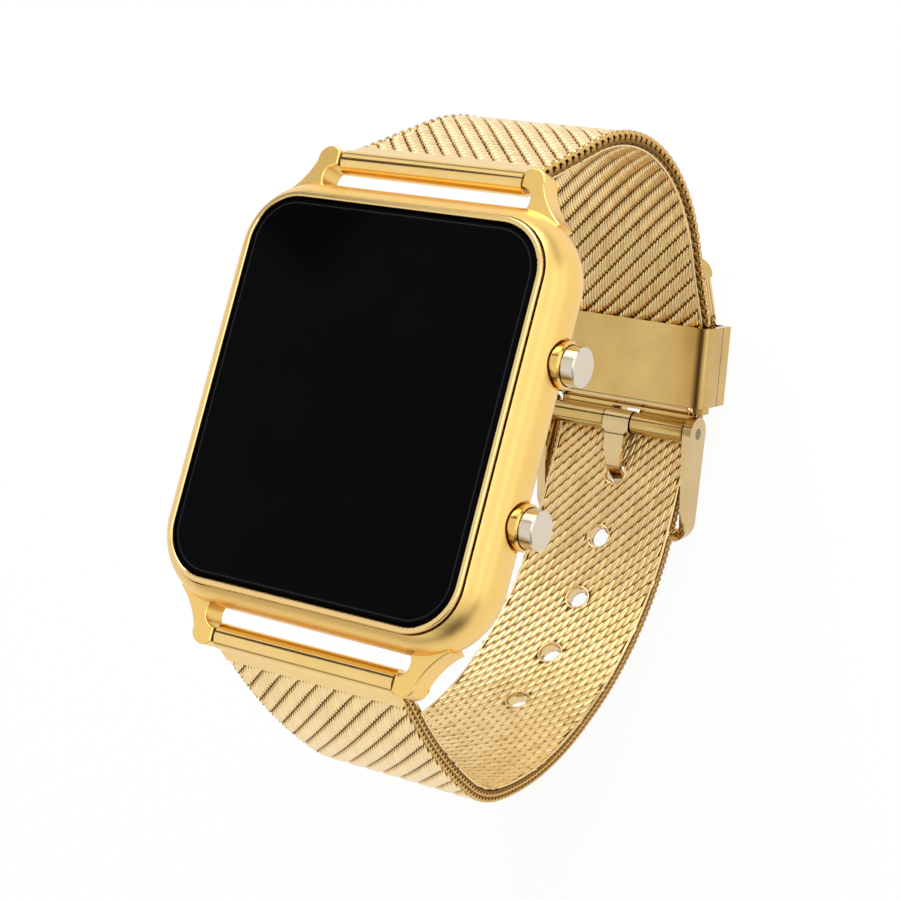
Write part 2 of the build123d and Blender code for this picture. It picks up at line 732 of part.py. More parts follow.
# Spring bars between the lugs, and the strap's end tubes that turn on them
for side, bar, heading in (("upper", upper_bar, upper_heading), ("lower", lower_bar, lower_heading)):
    with BuildPart() as spring_bar:
        with BuildSketch(Plane.YZ):
            with Locations((bar.Y, bar.Z)):
                Circle(bar_diameter / 2)
        extrude(amount=tube_length / 2, both=True)
        with BuildSketch(Plane.YZ):
            with Locations((bar.Y, bar.Z)):
                Circle(bar_tip_diameter / 2)
        extrude(amount=lug_inner + bar_tip_reach, both=True)
    spring_bar.part.label = f"spring_bar_{side}"
    export_step(spring_bar.part, f"parts/spring_bar_{side}.step")

    with BuildPart() as end_tube:
        with BuildSketch(Plane(origin=bar, x_dir=heading_vector(heading), z_dir=(1, 0, 0))):
            Circle(tube_diameter / 2)
            with Locations((crimp_reach / 2, 0)):
                Rectangle(crimp_reach, crimp_thickness)
            with Locations((crimp_reach - crimp_slot_depth / 2, 0)):
                Rectangle(crimp_slot_depth, crimp_slot, mode=Mode.SUBTRACT)
            Circle(bar_diameter / 2 + bar_fit, mode=Mode.SUBTRACT)
        extrude(amount=tube_length / 2, both=True)
    end_tube.part.label = f"end_tube_{side}"
    export_step(end_tube.part, f"parts/end_tube_{side}.step")

# Widths of both strap halves, seen along Y: a taper to the first hole, then straight
strap_top = bar_height + tube_diameter
strap_edge = (
    (strap_root_width / 2, strap_top),
    (strap_root_width / 2, 0),
    (strap_narrow_width / 2, -strap_taper_end),
    (strap_narrow_width / 2, rest_level - cut_overrun),
)
strap_outline = strap_edge + tuple((-x, z) for x, z in reversed(strap_edge))
root_depth = crimp_slot_depth - strap_cleft

# Upper strap: from its crimp round the wrist's far side and into the clasp
strap_reach = bar_y + upper_bend_radius
with BuildPart() as strap_mesh_upper:
    with BuildLine(Plane.YZ) as upper_route:
        upper_start = upper_bar + heading_vector(upper_heading) * crimp_reach
        first = Line(upper_start, upper_bar + heading_vector(upper_heading) * upper_first_run)
        bend = JernArc(first @ 1, first % 1, upper_bend_radius, -upper_bend_turn)
        second = Line(bend @ 1, (bend @ 1) + (bend % 1) * upper_second_run)
        last = JernArc(second @ 1, second % 1, upper_last_radius, -upper_last_turn)
        Line(last @ 1, (last @ 1) + (last % 1) * upper_clasp_run)
    with BuildSketch(Plane(origin=first @ 0, x_dir=(1, 0, 0), z_dir=first % 0)):
        Rectangle(strap_root_width, strap_thickness)
    sweep()
    with BuildSketch(Plane(origin=upper_bar, x_dir=heading_vector(upper_heading), z_dir=(1, 0, 0))):
        with Locations((crimp_reach - root_depth / 2, 0)):
            Rectangle(root_depth, crimp_slot - strap_cleft)
    extrude(amount=tube_length / 2, both=True)
    with BuildSketch(Plane.XZ):
        Polygon(*strap_outline, align=None)
    extrude(amount=strap_reach, both=True, mode=Mode.INTERSECT)
strap_mesh_upper.part.label = "strap_mesh_upper"
export_step(strap_mesh_upper.part, "parts/strap_mesh_upper.step")

# Lower strap: under the wrist, through the keeper and out beside the upper strap as the tail
tail_radius = upper_last_radius + tail_depth - upper_depth
with BuildPart() as strap_mesh_lower:
    with BuildLine(Plane.YZ) as lower_route:
        lower_start = lower_bar + heading_vector(lower_heading) * crimp_reach
        first = Line(lower_start, lower_bar + heading_vector(lower_heading) * lower_lead_run)
        lead = JernArc(first @ 1, first % 1, lower_lead_radius, lower_lead_turn)
        second = Line(lead @ 1, (lead @ 1) + (lead % 1) * lower_first_run)
        bend = JernArc(second @ 1, second % 1, lower_first_radius, lower_first_turn)
        wide_bend = JernArc(bend @ 1, bend % 1, lower_bend_radius, lower_bend_turn)
        low_run = Line(wide_bend @ 1, (wide_bend @ 1) + (wide_bend % 1) * lower_low_run)
        entry = JernArc(low_run @ 1, low_run % 1, keeper_entry_radius, keeper_turn)
        keeper_run = clasp_length - clasp_mouth_inset - keeper_entry
        through = Line(entry @ 1, (entry @ 1) + (entry % 1) * keeper_run)
        tail_bend = JernArc(through @ 1, through % 1, tail_radius, upper_last_turn)
        tail = Line(tail_bend @ 1, (tail_bend @ 1) + (tail_bend % 1) * tail_run)
    with BuildSketch(Plane(origin=first @ 0, x_dir=(1, 0, 0), z_dir=first % 0)):
        Rectangle(strap_root_width, strap_thickness)
    sweep()
    with BuildSketch(Plane(origin=lower_bar, x_dir=heading_vector(lower_heading), z_dir=(1, 0, 0))):
        with Locations((crimp_reach - root_depth / 2, 0)):
            Rectangle(root_depth, crimp_slot - strap_cleft)
    extrude(amount=tube_length / 2, both=True)
    with BuildSketch(Plane.XZ):
        Polygon(*strap_outline, align=None)
    extrude(amount=strap_reach, both=True, mode=Mode.INTERSECT)
    route_wire = lower_route.wire()
    for count in range(-holes_before, holes_after + 1):
        place = hole_place - crimp_reach + count * strap_hole_pitch
        spot = route_wire.position_at(place, position_mode=PositionMode.LENGTH)
        way = route_wire.tangent_at(place, position_mode=PositionMode.LENGTH)
        with BuildSketch(Plane(origin=spot, x_dir=(1, 0, 0), z_dir=Vector(0, -way.Z, way.Y))):
            Circle(strap_hole_diameter / 2)
        extrude(amount=strap_thickness, both=True, mode=Mode.SUBTRACT)
strap_mesh_lower.part.label = "strap_mesh_lower"
export_step(strap_mesh_lower.part, "parts/strap_mesh_lower.step")

with BuildPart() as strap_tail_tip:
    with BuildSketch(Plane(origin=tail @ 1, x_dir=(1, 0, 0), z_dir=Vector(0, -(tail % 1).Z, (tail % 1).Y))):
        with Locations((0, tail_tip_length / 2)):
            Rectangle(strap_narrow_width + 2 * tail_tip_wall, tail_tip_length)
        fillet(vertices().sort_by(Axis.Y)[-2:], tail_tip_radius)
    extrude(amount=strap_thickness / 2 + tail_tip_wall / 2, both=True)
strap_tail_tip.part.label = "strap_tail_tip"
export_step(strap_tail_tip.part, "parts/strap_tail_tip.step")

# Clasp body: plate, side flanges, ears, the strap's stop and the hinge barrels
across = Plane(origin=clasp_origin, x_dir=(1, 0, 0), z_dir=up_strap)
strap_end = clasp_length - clasp_mouth_inset - upper_clasp_run
ear_inner = strap_narrow_width / 2 + clasp_ear_gap
inner_width = clasp_width - 2 * clasp_wall
slot_width = tongue_knuckle_width + 2 * tongue_slot_gap
slot_depth = tongue_knuckle_diameter + 2 * tongue_slot_gap
with BuildPart() as clasp_body:
    with BuildSketch(across):
        Rectangle(clasp_width, clasp_seam_depth, align=(Align.CENTER, Align.MIN))
        fillet(vertices().sort_by(Axis.Y)[:2], clasp_roll_radius)
        with Locations((0, clasp_plate)):
            Rectangle(inner_width, clasp_seam_depth, align=(Align.CENTER, Align.MIN), mode=Mode.SUBTRACT)
    extrude(amount=clasp_length)
    with BuildSketch(across):
        for ear_x in (-(ear_inner + clasp_width / 2) / 2, (ear_inner + clasp_width / 2) / 2):
            with Locations((ear_x, clasp_step_height)):
                Rectangle(
                    clasp_width / 2 - ear_inner, clasp_ear_depth - clasp_step_height, align=(Align.CENTER, Align.MIN)
                )
    extrude(amount=-clasp_ear)
    with BuildSketch(clasp_side):
        with Locations((strap_end - clasp_stop, clasp_plate)):
            Rectangle(clasp_stop, clasp_stop_height, align=(Align.MIN, Align.MIN))
    extrude(amount=strap_narrow_width / 2, both=True)
    with BuildSketch(clasp_side):
        with Locations((-pin_drop, clasp_step_height)):
            Rectangle(pin_drop, clasp_plate - clasp_step_height, align=(Align.MIN, Align.MIN))
        with Locations((-pin_drop, -pin_rise)):
            Circle(barrel_diameter / 2)
    extrude(amount=barrel_reach, both=True)
    with BuildSketch(clasp_side):
        with Locations((-pin_drop, -pin_rise)):
            Rectangle(slot_depth, slot_depth)
    extrude(amount=slot_width / 2, both=True, mode=Mode.SUBTRACT)
    with BuildSketch(clasp_side):
        with Locations((-pin_drop, -pin_rise)):
            Circle(pin_diameter / 2 + pin_fit)
    extrude(amount=clasp_width, both=True, mode=Mode.SUBTRACT)
clasp_body.part.label = "clasp_body"
export_step(clasp_body.part, "parts/clasp_body.step")

# Keeper cover: it closes the box from outside, with the tail between it and the plate
with BuildPart() as keeper_cover:
    with BuildSketch(across):
        with Locations((0, clasp_seam_depth)):
            Rectangle(clasp_width, clasp_depth - clasp_seam_depth, align=(Align.CENTER, Align.MIN))
            Rectangle(
                inner_width,
                clasp_depth - clasp_seam_depth - clasp_plate,
                align=(Align.CENTER, Align.MIN),
                mode=Mode.SUBTRACT,
            )
    extrude(amount=clasp_length)
    fillet(keeper_cover.faces().sort_by(Axis(clasp_origin, outward))[-1].edges(), keeper_edge_radius)
keeper_cover.part.label = "keeper_cover"
export_step(keeper_cover.part, "parts/keeper_cover.step")

with BuildPart() as clasp_pin:
    with BuildSketch(Plane.YZ):
        with Locations((pin_centre.Y, pin_centre.Z)):
            Circle(pin_diameter / 2)
    extrude(amount=frame_width / 2, both=True)
clasp_pin.part.label = "clasp_pin"
export_step(clasp_pin.part, "parts/clasp_pin.step")

# Buckle frame: two flat arms on the pin, and the round far bar outside the strap
arm_line = far_bar_centre - pin_centre
arm_length = arm_line.length
arm_way = arm_line.normalized()
frame_plan = Plane(origin=pin_centre, x_dir=(1, 0, 0), z_dir=Vector(0, -arm_way.Z, arm_way.Y))
notch_width = tongue_tip_width + 2 * tongue_notch_gap
with BuildPart() as buckle_frame:
    with BuildSketch(Plane.YZ):
        with Locations((pin_centre.Y, pin_centre.Z)):
            Circle(arm_head_radius)
        with Locations((far_bar_centre.Y, far_bar_centre.Z)):
            Circle(far_bar_diameter / 2)
        make_hull()
    extrude(amount=frame_width / 2, both=True)
    with BuildSketch(frame_plan):
        with Locations((0, -arm_head_radius)):
            Rectangle(frame_inner, arm_length + arm_head_radius, align=(Align.CENTER, Align.MIN))
    extrude(amount=2 * arm_head_radius, both=True, mode=Mode.SUBTRACT)
    with BuildSketch(Plane.YZ):
        with Locations((far_bar_centre.Y, far_bar_centre.Z)):
            Circle(far_bar_diameter / 2)
    extrude(amount=frame_width / 2, both=True)
    with BuildSketch(frame_plan):
        with Locations((0, -2 * arm_head_radius)):
            Rectangle(
                frame_width, arm_length + 2 * arm_head_radius + far_bar_diameter / 2, align=(Align.CENTER, Align.MIN)
            )
        fillet(vertices().sort_by(Axis.Y)[-2:], frame_corner_radius)
    extrude(amount=2 * arm_head_radius, both=True, mode=Mode.INTERSECT)
    with BuildSketch(Plane.YZ):
        with Locations((pin_centre.Y, pin_centre.Z)):
            Circle(pin_diameter / 2 + pin_fit)
    extrude(amount=frame_width, both=True, mode=Mode.SUBTRACT)
    with BuildSketch(Plane.YZ):
        with Locations((far_bar_centre.Y, rest_level + tongue_notch_depth)):
            Rectangle(2 * far_bar_diameter, far_bar_diameter, align=(Align.CENTER, Align.MAX))
    extrude(amount=notch_width / 2, both=True, mode=Mode.SUBTRACT)
buckle_frame.part.label = "buckle_frame"
export_step(buckle_frame.part, "parts/buckle_frame.step")

# Buckle tongue: from its knuckle on the pin, through the hole in use, into the far bar's notch
tongue_level = rest_level + tongue_notch_depth - tongue_bar_gap - tongue_thickness / 2
tongue_dip_z = hole_centre.Z + strap_thickness / 2 + tongue_entry
tongue_dip_y = hole_centre.Y + tongue_entry
tongue_out_y = hole_centre.Y - tongue_entry - tongue_slot_gap
tongue_end_y = far_bar_centre.Y - tongue_tip_overhang
knuckle_front = pin_centre.Y - tongue_knuckle_diameter / 2
with BuildPart() as buckle_tongue:
    with BuildLine(Plane.YZ):
        FilletPolyline(
            (pin_centre.Y, pin_centre.Z + (tongue_knuckle_diameter - tongue_thickness) / 2),
            (tongue_dip_y + tongue_lead, tongue_dip_z + tongue_hump + tongue_entry / 2),
            (tongue_dip_y, tongue_dip_z),
            (tongue_out_y, hole_centre.Z - strap_thickness / 2 - tongue_exit),
            (far_bar_centre.Y + tongue_landing, tongue_level),
            (tongue_end_y, tongue_level),
            radius=tongue_bend_radius,
        )
    tongue_start = Plane(
        origin=(0, pin_centre.Y, pin_centre.Z + (tongue_knuckle_diameter - tongue_thickness) / 2),
        x_dir=(1, 0, 0),
        z_dir=buckle_tongue.pending_edges[0] % 0,
    )
    with BuildSketch(tongue_start):
        Rectangle(tongue_knuckle_width, tongue_thickness)
    sweep()
    with BuildSketch(Plane.XY):
        Polygon(
            (-tongue_tip_width / 2, tongue_end_y),
            (tongue_tip_width / 2, tongue_end_y),
            (tongue_tip_width / 2, tongue_dip_y),
            (tongue_width / 2, tongue_dip_y + tongue_lead),
            (tongue_width / 2, knuckle_front - tongue_slot_gap),
            (tongue_knuckle_width / 2, knuckle_front + tongue_slot_gap),
            (tongue_knuckle_width / 2, pin_centre.Y + cut_overrun),
            (-tongue_knuckle_width / 2, pin_centre.Y + cut_overrun),
            (-tongue_knuckle_width / 2, knuckle_front + tongue_slot_gap),
            (-tongue_width / 2, knuckle_front - tongue_slot_gap),
            (-tongue_width / 2, tongue_dip_y + tongue_lead),
            (-tongue_tip_width / 2, tongue_dip_y),
            align=None,
        )
        fillet(vertices().sort_by(Axis.Y)[:2], tongue_tip_radius)
    extrude(amount=2 * rest_level, mode=Mode.INTERSECT)
    with BuildSketch(Plane.YZ):
        with Locations((pin_centre.Y, pin_centre.Z)):
            Circle(tongue_knuckle_diameter / 2)
    extrude(amount=tongue_knuckle_width / 2, both=True)
    with BuildSketch(Plane.YZ):
        with Locations((pin_centre.Y, pin_centre.Z)):
            Circle(pin_diameter / 2 + pin_fit)
    extrude(amount=tongue_knuckle_width, both=True, mode=Mode.SUBTRACT)
buckle_tongue.part.label = "buckle_tongue"
export_step(buckle_tongue.part, "parts/buckle_tongue.step")
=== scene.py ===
"""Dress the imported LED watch: woven strap, satin and polished gold, black crystal, and a pale studio.

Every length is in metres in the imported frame: +Z out through the crystal, +Y to 12 o'clock and
+X to the buttons.
"""

import logging
import math
from dataclasses import dataclass, field, replace
from enum import Enum
from typing import Iterable, Mapping, Optional, Sequence

import bpy
import numpy as np
from mathutils import Matrix, Vector


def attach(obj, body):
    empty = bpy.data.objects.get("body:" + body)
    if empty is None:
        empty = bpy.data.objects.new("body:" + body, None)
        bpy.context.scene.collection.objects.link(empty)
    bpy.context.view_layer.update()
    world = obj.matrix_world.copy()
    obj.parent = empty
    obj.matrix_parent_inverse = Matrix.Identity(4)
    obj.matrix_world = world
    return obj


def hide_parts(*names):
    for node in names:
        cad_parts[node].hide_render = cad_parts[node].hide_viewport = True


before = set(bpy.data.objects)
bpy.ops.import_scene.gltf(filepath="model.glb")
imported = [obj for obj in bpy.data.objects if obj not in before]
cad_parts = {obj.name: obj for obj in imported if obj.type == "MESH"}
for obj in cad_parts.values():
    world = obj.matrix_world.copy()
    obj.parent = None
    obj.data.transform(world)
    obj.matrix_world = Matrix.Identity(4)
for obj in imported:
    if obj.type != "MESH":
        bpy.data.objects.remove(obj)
LOG = logging.getLogger("watch")
MM = 0.001
TINY = 1e-9
Colour = tuple[float, float, float]
Place = tuple[float, float, float]
Pair = tuple[float, float]


def add_object(name: str, data: bpy.types.ID) -> bpy.types.Object:
    """Add an object to the scene.

    Args:
        name: The object's name.
        data: Its mesh, lamp or camera.

    Returns:
        The new object.
    """
    made = bpy.data.objects.new(name, data)
    bpy.context.scene.collection.objects.link(made)
    return made


def round_angles(count: int, shift: float = 0.0) -> np.ndarray:
    """Angles spread evenly round a circle, each moved on by a share of a step."""
    return 2 * np.pi * (np.arange(count) + shift) / count


class Shade:
    """A node socket that takes part in arithmetic."""

    def __init__(self, book: "NodeBook", socket: bpy.types.NodeSocket) -> None:
        """Keep the socket and the book that it belongs to."""
        self.book = book
        self.socket = socket

    def _math(self, operation: str, first: object, second: object) -> "Shade":
        """Add one Math node and return its value."""
        return self.book.node("ShaderNodeMath", {"operation": operation}, {0: first, 1: second})

    def __add__(self, other: object) -> "Shade":
        """self + other."""
        return self._math("ADD", self, other)

    def __radd__(self, other: object) -> "Shade":
        """other + self."""
        return self._math("ADD", other, self)

    def __sub__(self, other: object) -> "Shade":
        """self - other."""
        return self._math("SUBTRACT", self, other)

    def __rsub__(self, other: object) -> "Shade":
        """other - self."""
        return self._math("SUBTRACT", other, self)

    def __mul__(self, other: object) -> "Shade":
        """self * other."""
        return self._math("MULTIPLY", self, other)

    def __rmul__(self, other: object) -> "Shade":
        """other * self."""
        return self._math("MULTIPLY", other, self)

    def __truediv__(self, other: object) -> "Shade":
        """self / other."""
        return self._math("DIVIDE", self, other)

    def __rtruediv__(self, other: object) -> "Shade":
        """other / self."""
        return self._math("DIVIDE", other, self)

    def __abs__(self) -> "Shade":
        """The value without its sign."""
        return self._math("ABSOLUTE", self, None)

    def most(self, other: object) -> "Shade":
        """The larger of self and other."""
        return self._math("MAXIMUM", self, other)

    def hypot(self, other: "Shade") -> "Shade":
        """The length of the vector of self and other."""
        return self._math("POWER", self * self + other * other, 0.5)

    def line(self, level: float, width: float) -> "Shade":
        """1 where the value is at a level, falling to 0 at half the width on both sides."""
        return (1.0 - abs(self - level) / (width / 2)).most(0.0)


class NodeBook:
    """The node tree of one material or of the world."""

    def __init__(self, tree: bpy.types.NodeTree) -> None:
        """Empty the tree, so that all its nodes are made here."""
        self.tree = tree
        tree.nodes.clear()

    def node(
        self,
        kind: str,
        settings: Optional[Mapping[str, object]] = None,
        inputs: Optional[Mapping[object, object]] = None,
        output: object = 0,
    ) -> Shade:
        """Make one node.

        Args:
            kind: Blender's name of the node's type.
            settings: Properties that are set before any input. A ramp's are given as "stops".
            inputs: Socket names or numbers, each with a value or a Shade to link.
            output: Name or number of the output that is returned.

        Returns:
            The chosen output.
        """
        made = self.tree.nodes.new(kind)
        for key, value in (settings or {}).items():
            if key == "stops":
                self._set_stops(made.color_ramp, value)
            else:
                setattr(made, key, value)
        for key, value in (inputs or {}).items():
            if isinstance(value, Shade):
                self.tree.links.new(value.socket, made.inputs[key])
            elif value is not None:
                made.inputs[key].default_value = value
        return Shade(self, made.outputs[output] if len(made.outputs) else None)

    @staticmethod
    def _set_stops(ramp: bpy.types.ColorRamp, stops: Sequence[tuple[float, Colour]]) -> None:
        """Give a ramp its stops, from left to right.

        Args:
            ramp: The ramp.
            stops: Each stop's place, from 0 to 1, and its colour.
        """
        while len(ramp.elements) < len(stops):
            ramp.elements.new(1.0)
        for element, (place, colour) in zip(ramp.elements, stops):
            element.position = place
            element.color = (*colour, 1.0)

    def blend(self, factor: Shade, first: object, second: object) -> Shade:
        """Mix two colours by a factor."""
        sockets = {0: factor, 6: self._colour(first), 7: self._colour(second)}
        return self.node("ShaderNodeMix", {"data_type": "RGBA"}, sockets, 2)

    @staticmethod
    def _colour(value: object) -> object:
        """Give a plain colour its alpha."""
        return (*value, 1.0) if isinstance(value, tuple) else value

    def noise(self, size: float, stretch: Place = (1.0, 1.0, 1.0), detail: float = 2.0) -> Shade:
        """Noise over the piece, from 0 to 1.

        Args:
            size: Size of its features, in metres.
            stretch: How much longer the features are along each axis.
            detail: Number of finer layers.

        Returns:
            The noise's value.
        """
        place = self.node("ShaderNodeTexCoord", output="Object")
        scale = tuple(1.0 / (size * part) for part in stretch)
        scaled = self.node("ShaderNodeVectorMath", {"operation": "MULTIPLY"}, {0: place, 1: scale})
        return self.node("ShaderNodeTexNoise", None, {"Vector": scaled, "Scale": 1.0, "Detail": detail})

    def axis(self, letter: str, source: str = "Object") -> Shade:
        """One axis of a position or direction.

        Args:
            letter: X, Y or Z.
            source: Output of the texture coordinates.

        Returns:
            That axis as a value.
        """
        place = self.node("ShaderNodeTexCoord", output=source)
        return self.node("ShaderNodeSeparateXYZ", None, {0: place}, letter)

    def relief(self, height: Shade, distance: float) -> Optional[Shade]:
        """Bump from a height.

        Args:
            height: The height as a value from 0 to 1.
            distance: How deep the bump is, in metres. Nought means that there is none.

        Returns:
            The bent normal, or nothing if there is no bump.
        """
        if not distance:
            return None
        inputs = {"Strength": 1.0, "Distance": distance, "Height": height}
        return self.node("ShaderNodeBump", None, inputs, "Normal")


class Finish:
    """What all finishes share: one material each, made once."""

    name: str
    _made: dict[str, bpy.types.Material] = {}

    def material(self) -> bpy.types.Material:
        """Make the finish's material at its first use.

        Returns:
            The material.
        """
        if self.name not in Finish._made:
            made = bpy.data.materials.new(self.name)
            made.use_nodes = True
            book = NodeBook(made.node_tree)
            shader = book.node("ShaderNodeBsdfPrincipled", None, self.sockets(book))
            book.node("ShaderNodeOutputMaterial", None, {"Surface": shader})
            Finish._made[self.name] = made
        return Finish._made[self.name]

    def sockets(self, book: NodeBook) -> dict[str, object]:
        """The shader's values and links."""
        raise NotImplementedError


@dataclass(frozen=True)
class MetalFinish(Finish):
    """A plated or plain metal whose tone and gloss wander a little."""

    name: str
    tint: Colour
    # The second tone gives each metal patches of wear; on the clasp it lies far from the first, and the
    # patches are painted light and shade.
    wear_and_sheen_tint: Colour
    roughness: float
    wander: float = 0.04
    grain: float = 0.4 * MM
    stretch: Place = (1.0, 1.0, 1.0)
    relief: float = 0.0
    patch_grains: float = 12.0

    def sockets(self, book: NodeBook) -> dict[str, object]:
        """Two tones by broad noise, gloss and relief by fine noise.

        Args:
            book: The material's nodes.

        Returns:
            The shader's sockets by name.
        """
        broad = book.noise(self.patch_grains * self.grain)
        fine = book.noise(self.grain, self.stretch, detail=3.0)
        return {
            "Base Color": book.blend(broad, self.tint, self.wear_and_sheen_tint),
            "Metallic": 1.0,
            "Roughness": fine * (2 * self.wander) + (self.roughness - self.wander),
            "Normal": book.relief(fine, self.relief),
        }


@dataclass(frozen=True)
class SeamAndShadeMetalFinish(MetalFinish):
    """A polished metal with a dark line where a plane cuts it, and brown bands of painted shade along two
    edges.

    The line is a real seam between the clasp's halves, and painted shade in the tongue's bend.
    """

    seam_way: Pair = (0.0, 1.0)
    seam_level: float = 0.0
    seam_width: float = 0.22 * MM
    seam_and_crease_shade_tint: Colour = (0.04, 0.02, 0.006)
    shade_band_level: float = 0.0
    shade_band_width: float = 1.1 * MM
    shade_band_tint: Colour = (0.10, 0.05, 0.012)

    @classmethod
    def over(cls, choice: Enum, name: str, way: np.ndarray, level: float) -> "SeamAndShadeMetalFinish":
        """A plain metal finish with a dark line where the place along a YZ direction is the level."""
        return cls(**{**vars(choice.value), "name": name}, seam_way=tuple(way.tolist()), seam_level=level)

    def sockets(self, book: NodeBook) -> dict[str, object]:
        """The metal's sockets, with the dark line and the painted shade bands laid over its colour.

        Args:
            book: The material's nodes.

        Returns:
            The shader's sockets by name.
        """
        found = super().sockets(book)
        place = book.axis("Y") * self.seam_way[0] + book.axis("Z") * self.seam_way[1]
        # The dark line is a real seam on the clasp, and painted shade in the tongue's bend.
        seam = place.line(self.seam_level, self.seam_width)
        colour = found["Base Color"]
        if self.shade_band_level:
            # Painted shade: brown bands where the clasp plate rolls round at its sides.
            edge = abs(book.axis("X")).line(self.shade_band_level, self.shade_band_width)
            colour = book.blend(edge, colour, self.shade_band_tint)
        found["Base Color"] = book.blend(seam, colour, self.seam_and_crease_shade_tint)
        return found


@dataclass(frozen=True)
class WireFinish(Finish):
    """Drawn and plated wire with a tone of its own, and painted shade on its flanks and in the gaps at its
    ends.
    """

    name: str
    crest: Colour
    # The flank and gap colours are painted shade: on each wire's sides, and where it dives under its
    # neighbours.
    flank_shade: Colour
    roughness: float
    gap: Colour = (0.07, 0.03, 0.006)
    flank_tone: float = 0.3
    grain: float = 0.15 * MM
    spread: float = 0.12

    def sockets(self, book: NodeBook) -> dict[str, object]:
        """Tone and painted shade from the mesh's own values, gloss from fine noise.

        Args:
            book: The material's nodes.

        Returns:
            The shader's sockets by name.
        """
        tone = book.node("ShaderNodeAttribute", {"attribute_name": "wire_tone_and_shade"}, None, "Fac")
        fine = book.noise(self.grain, detail=1.0)
        stops = [(0.0, self.gap), (self.flank_tone, self.flank_shade), (1.0, self.crest)]
        return {
            "Base Color": book.node("ShaderNodeValToRGB", {"stops": stops}, {0: tone}),
            "Metallic": 1.0,
            "Roughness": fine * self.spread + (self.roughness - self.spread / 2),
        }


@dataclass(frozen=True)
class SoftFinish(Finish):
    """Plastic, rubber or film, with a slightly uneven tone."""

    name: str
    tint: Colour
    shade: Colour
    roughness: float
    grain: float = 0.6 * MM
    wander: float = 0.05

    def sockets(self, book: NodeBook) -> dict[str, object]:
        """Two tones and a light unevenness of gloss.

        Args:
            book: The material's nodes.

        Returns:
            The shader's sockets by name.
        """
        fine = book.noise(self.grain)
        return {
            "Base Color": book.blend(fine, self.shade, self.tint),
            "Roughness": fine * (2 * self.wander) + (self.roughness - self.wander),
        }


@dataclass(frozen=True)
class CrystalFinish(Finish):
    """Black tinted glass with an anti-reflective coat."""

    name: str = "black_crystal"
    tint: Colour = (0.0012, 0.0013, 0.0016)
    smear: Colour = (0.0020, 0.0021, 0.0025)
    # The line colour is a painted highlight just inside the glass's edge.
    line: Colour = (0.020, 0.020, 0.021)
    half_size: Pair = (14.0 * MM, 16.3 * MM)
    corner: float = 4.1 * MM
    highlight_inset: float = 0.5 * MM
    highlight_width: float = 0.18 * MM
    cloud_size: float = 6 * MM
    roughness: float = 0.05
    wander: float = 0.04
    specular: float = 0.02

    def sockets(self, book: NodeBook) -> dict[str, object]:
        """Almost no base, a low mirror, and a painted highlight: the thin pale line where the glass bends
        down.

        Args:
            book: The material's nodes.

        Returns:
            The shader's sockets by name.
        """
        cloud = book.noise(self.cloud_size)
        beyond = [
            (abs(book.axis(letter)) - (half - self.corner)).most(0.0)
            for letter, half in zip("XY", self.half_size)
        ]
        # A painted highlight: a thin pale line at a set inset from the glass's rounded edge.
        line = (beyond[0].hypot(beyond[1]) - self.corner).line(-self.highlight_inset, self.highlight_width)
        black = book.blend(cloud, self.tint, self.smear)
        return {
            "Base Color": book.blend(line, black, self.line),
            "Roughness": cloud * self.wander + self.roughness,
            "Specular IOR Level": self.specular,
        }


class Gold(Enum):
    """The gold finishes of the watch."""

    SATIN = MetalFinish(
        "satin_gold", (0.90, 0.59, 0.18), (0.93, 0.63, 0.21), 0.32, 0.03, 0.25 * MM, relief=0.002 * MM
    )
    BRIGHT = MetalFinish("bright_gold", (0.86, 0.60, 0.24), (0.89, 0.64, 0.28), 0.2, 0.03)
    TUBE = MetalFinish(
        "tube_gold", (0.86, 0.58, 0.20), (0.90, 0.64, 0.26), 0.13, 0.03, 0.2 * MM, (8.0, 1.0, 1.0)
    )
    CHAMPAGNE = MetalFinish("champagne_gold", (0.68, 0.60, 0.47), (0.73, 0.65, 0.52), 0.22, 0.04)
    # The clasp's two tones lie far apart: its broad patches are painted soft light and shade on the plate.
    CLASP = MetalFinish(
        "clasp_gold", (0.47, 0.30, 0.085), (0.76, 0.53, 0.21), 0.13, 0.03, 0.4 * MM, (8.0, 1.0, 1.0)
    )
    BUCKLE = MetalFinish("buckle_gold", (0.58, 0.41, 0.18), (0.74, 0.56, 0.30), 0.12, 0.03, 0.3 * MM)
    COLLAR = MetalFinish("collar_gold", (0.83, 0.50, 0.13), (0.87, 0.55, 0.17), 0.14, 0.03)


class Wire(Enum):
    """The finishes of the strap's wires."""

    OUTER = WireFinish("outer_wire", (1.0, 0.77, 0.38), (0.74, 0.47, 0.17), 0.26)
    INNER = WireFinish("inner_wire", (1.0, 0.78, 0.40), (0.76, 0.49, 0.19), 0.33)
    # The edge wire's darker, browner colours are painted shade along the strap's sides.
    EDGE = WireFinish("edge_wire", (0.74, 0.46, 0.15), (0.30, 0.15, 0.03), 0.18)
    BORDER = WireFinish("border_wire", (0.92, 0.70, 0.36), (0.72, 0.50, 0.22), 0.22)
    # The core's brown is painted shade for the depths of the weave.
    CORE = WireFinish("strap_core", (0.50, 0.31, 0.10), (0.50, 0.31, 0.10), 0.5)


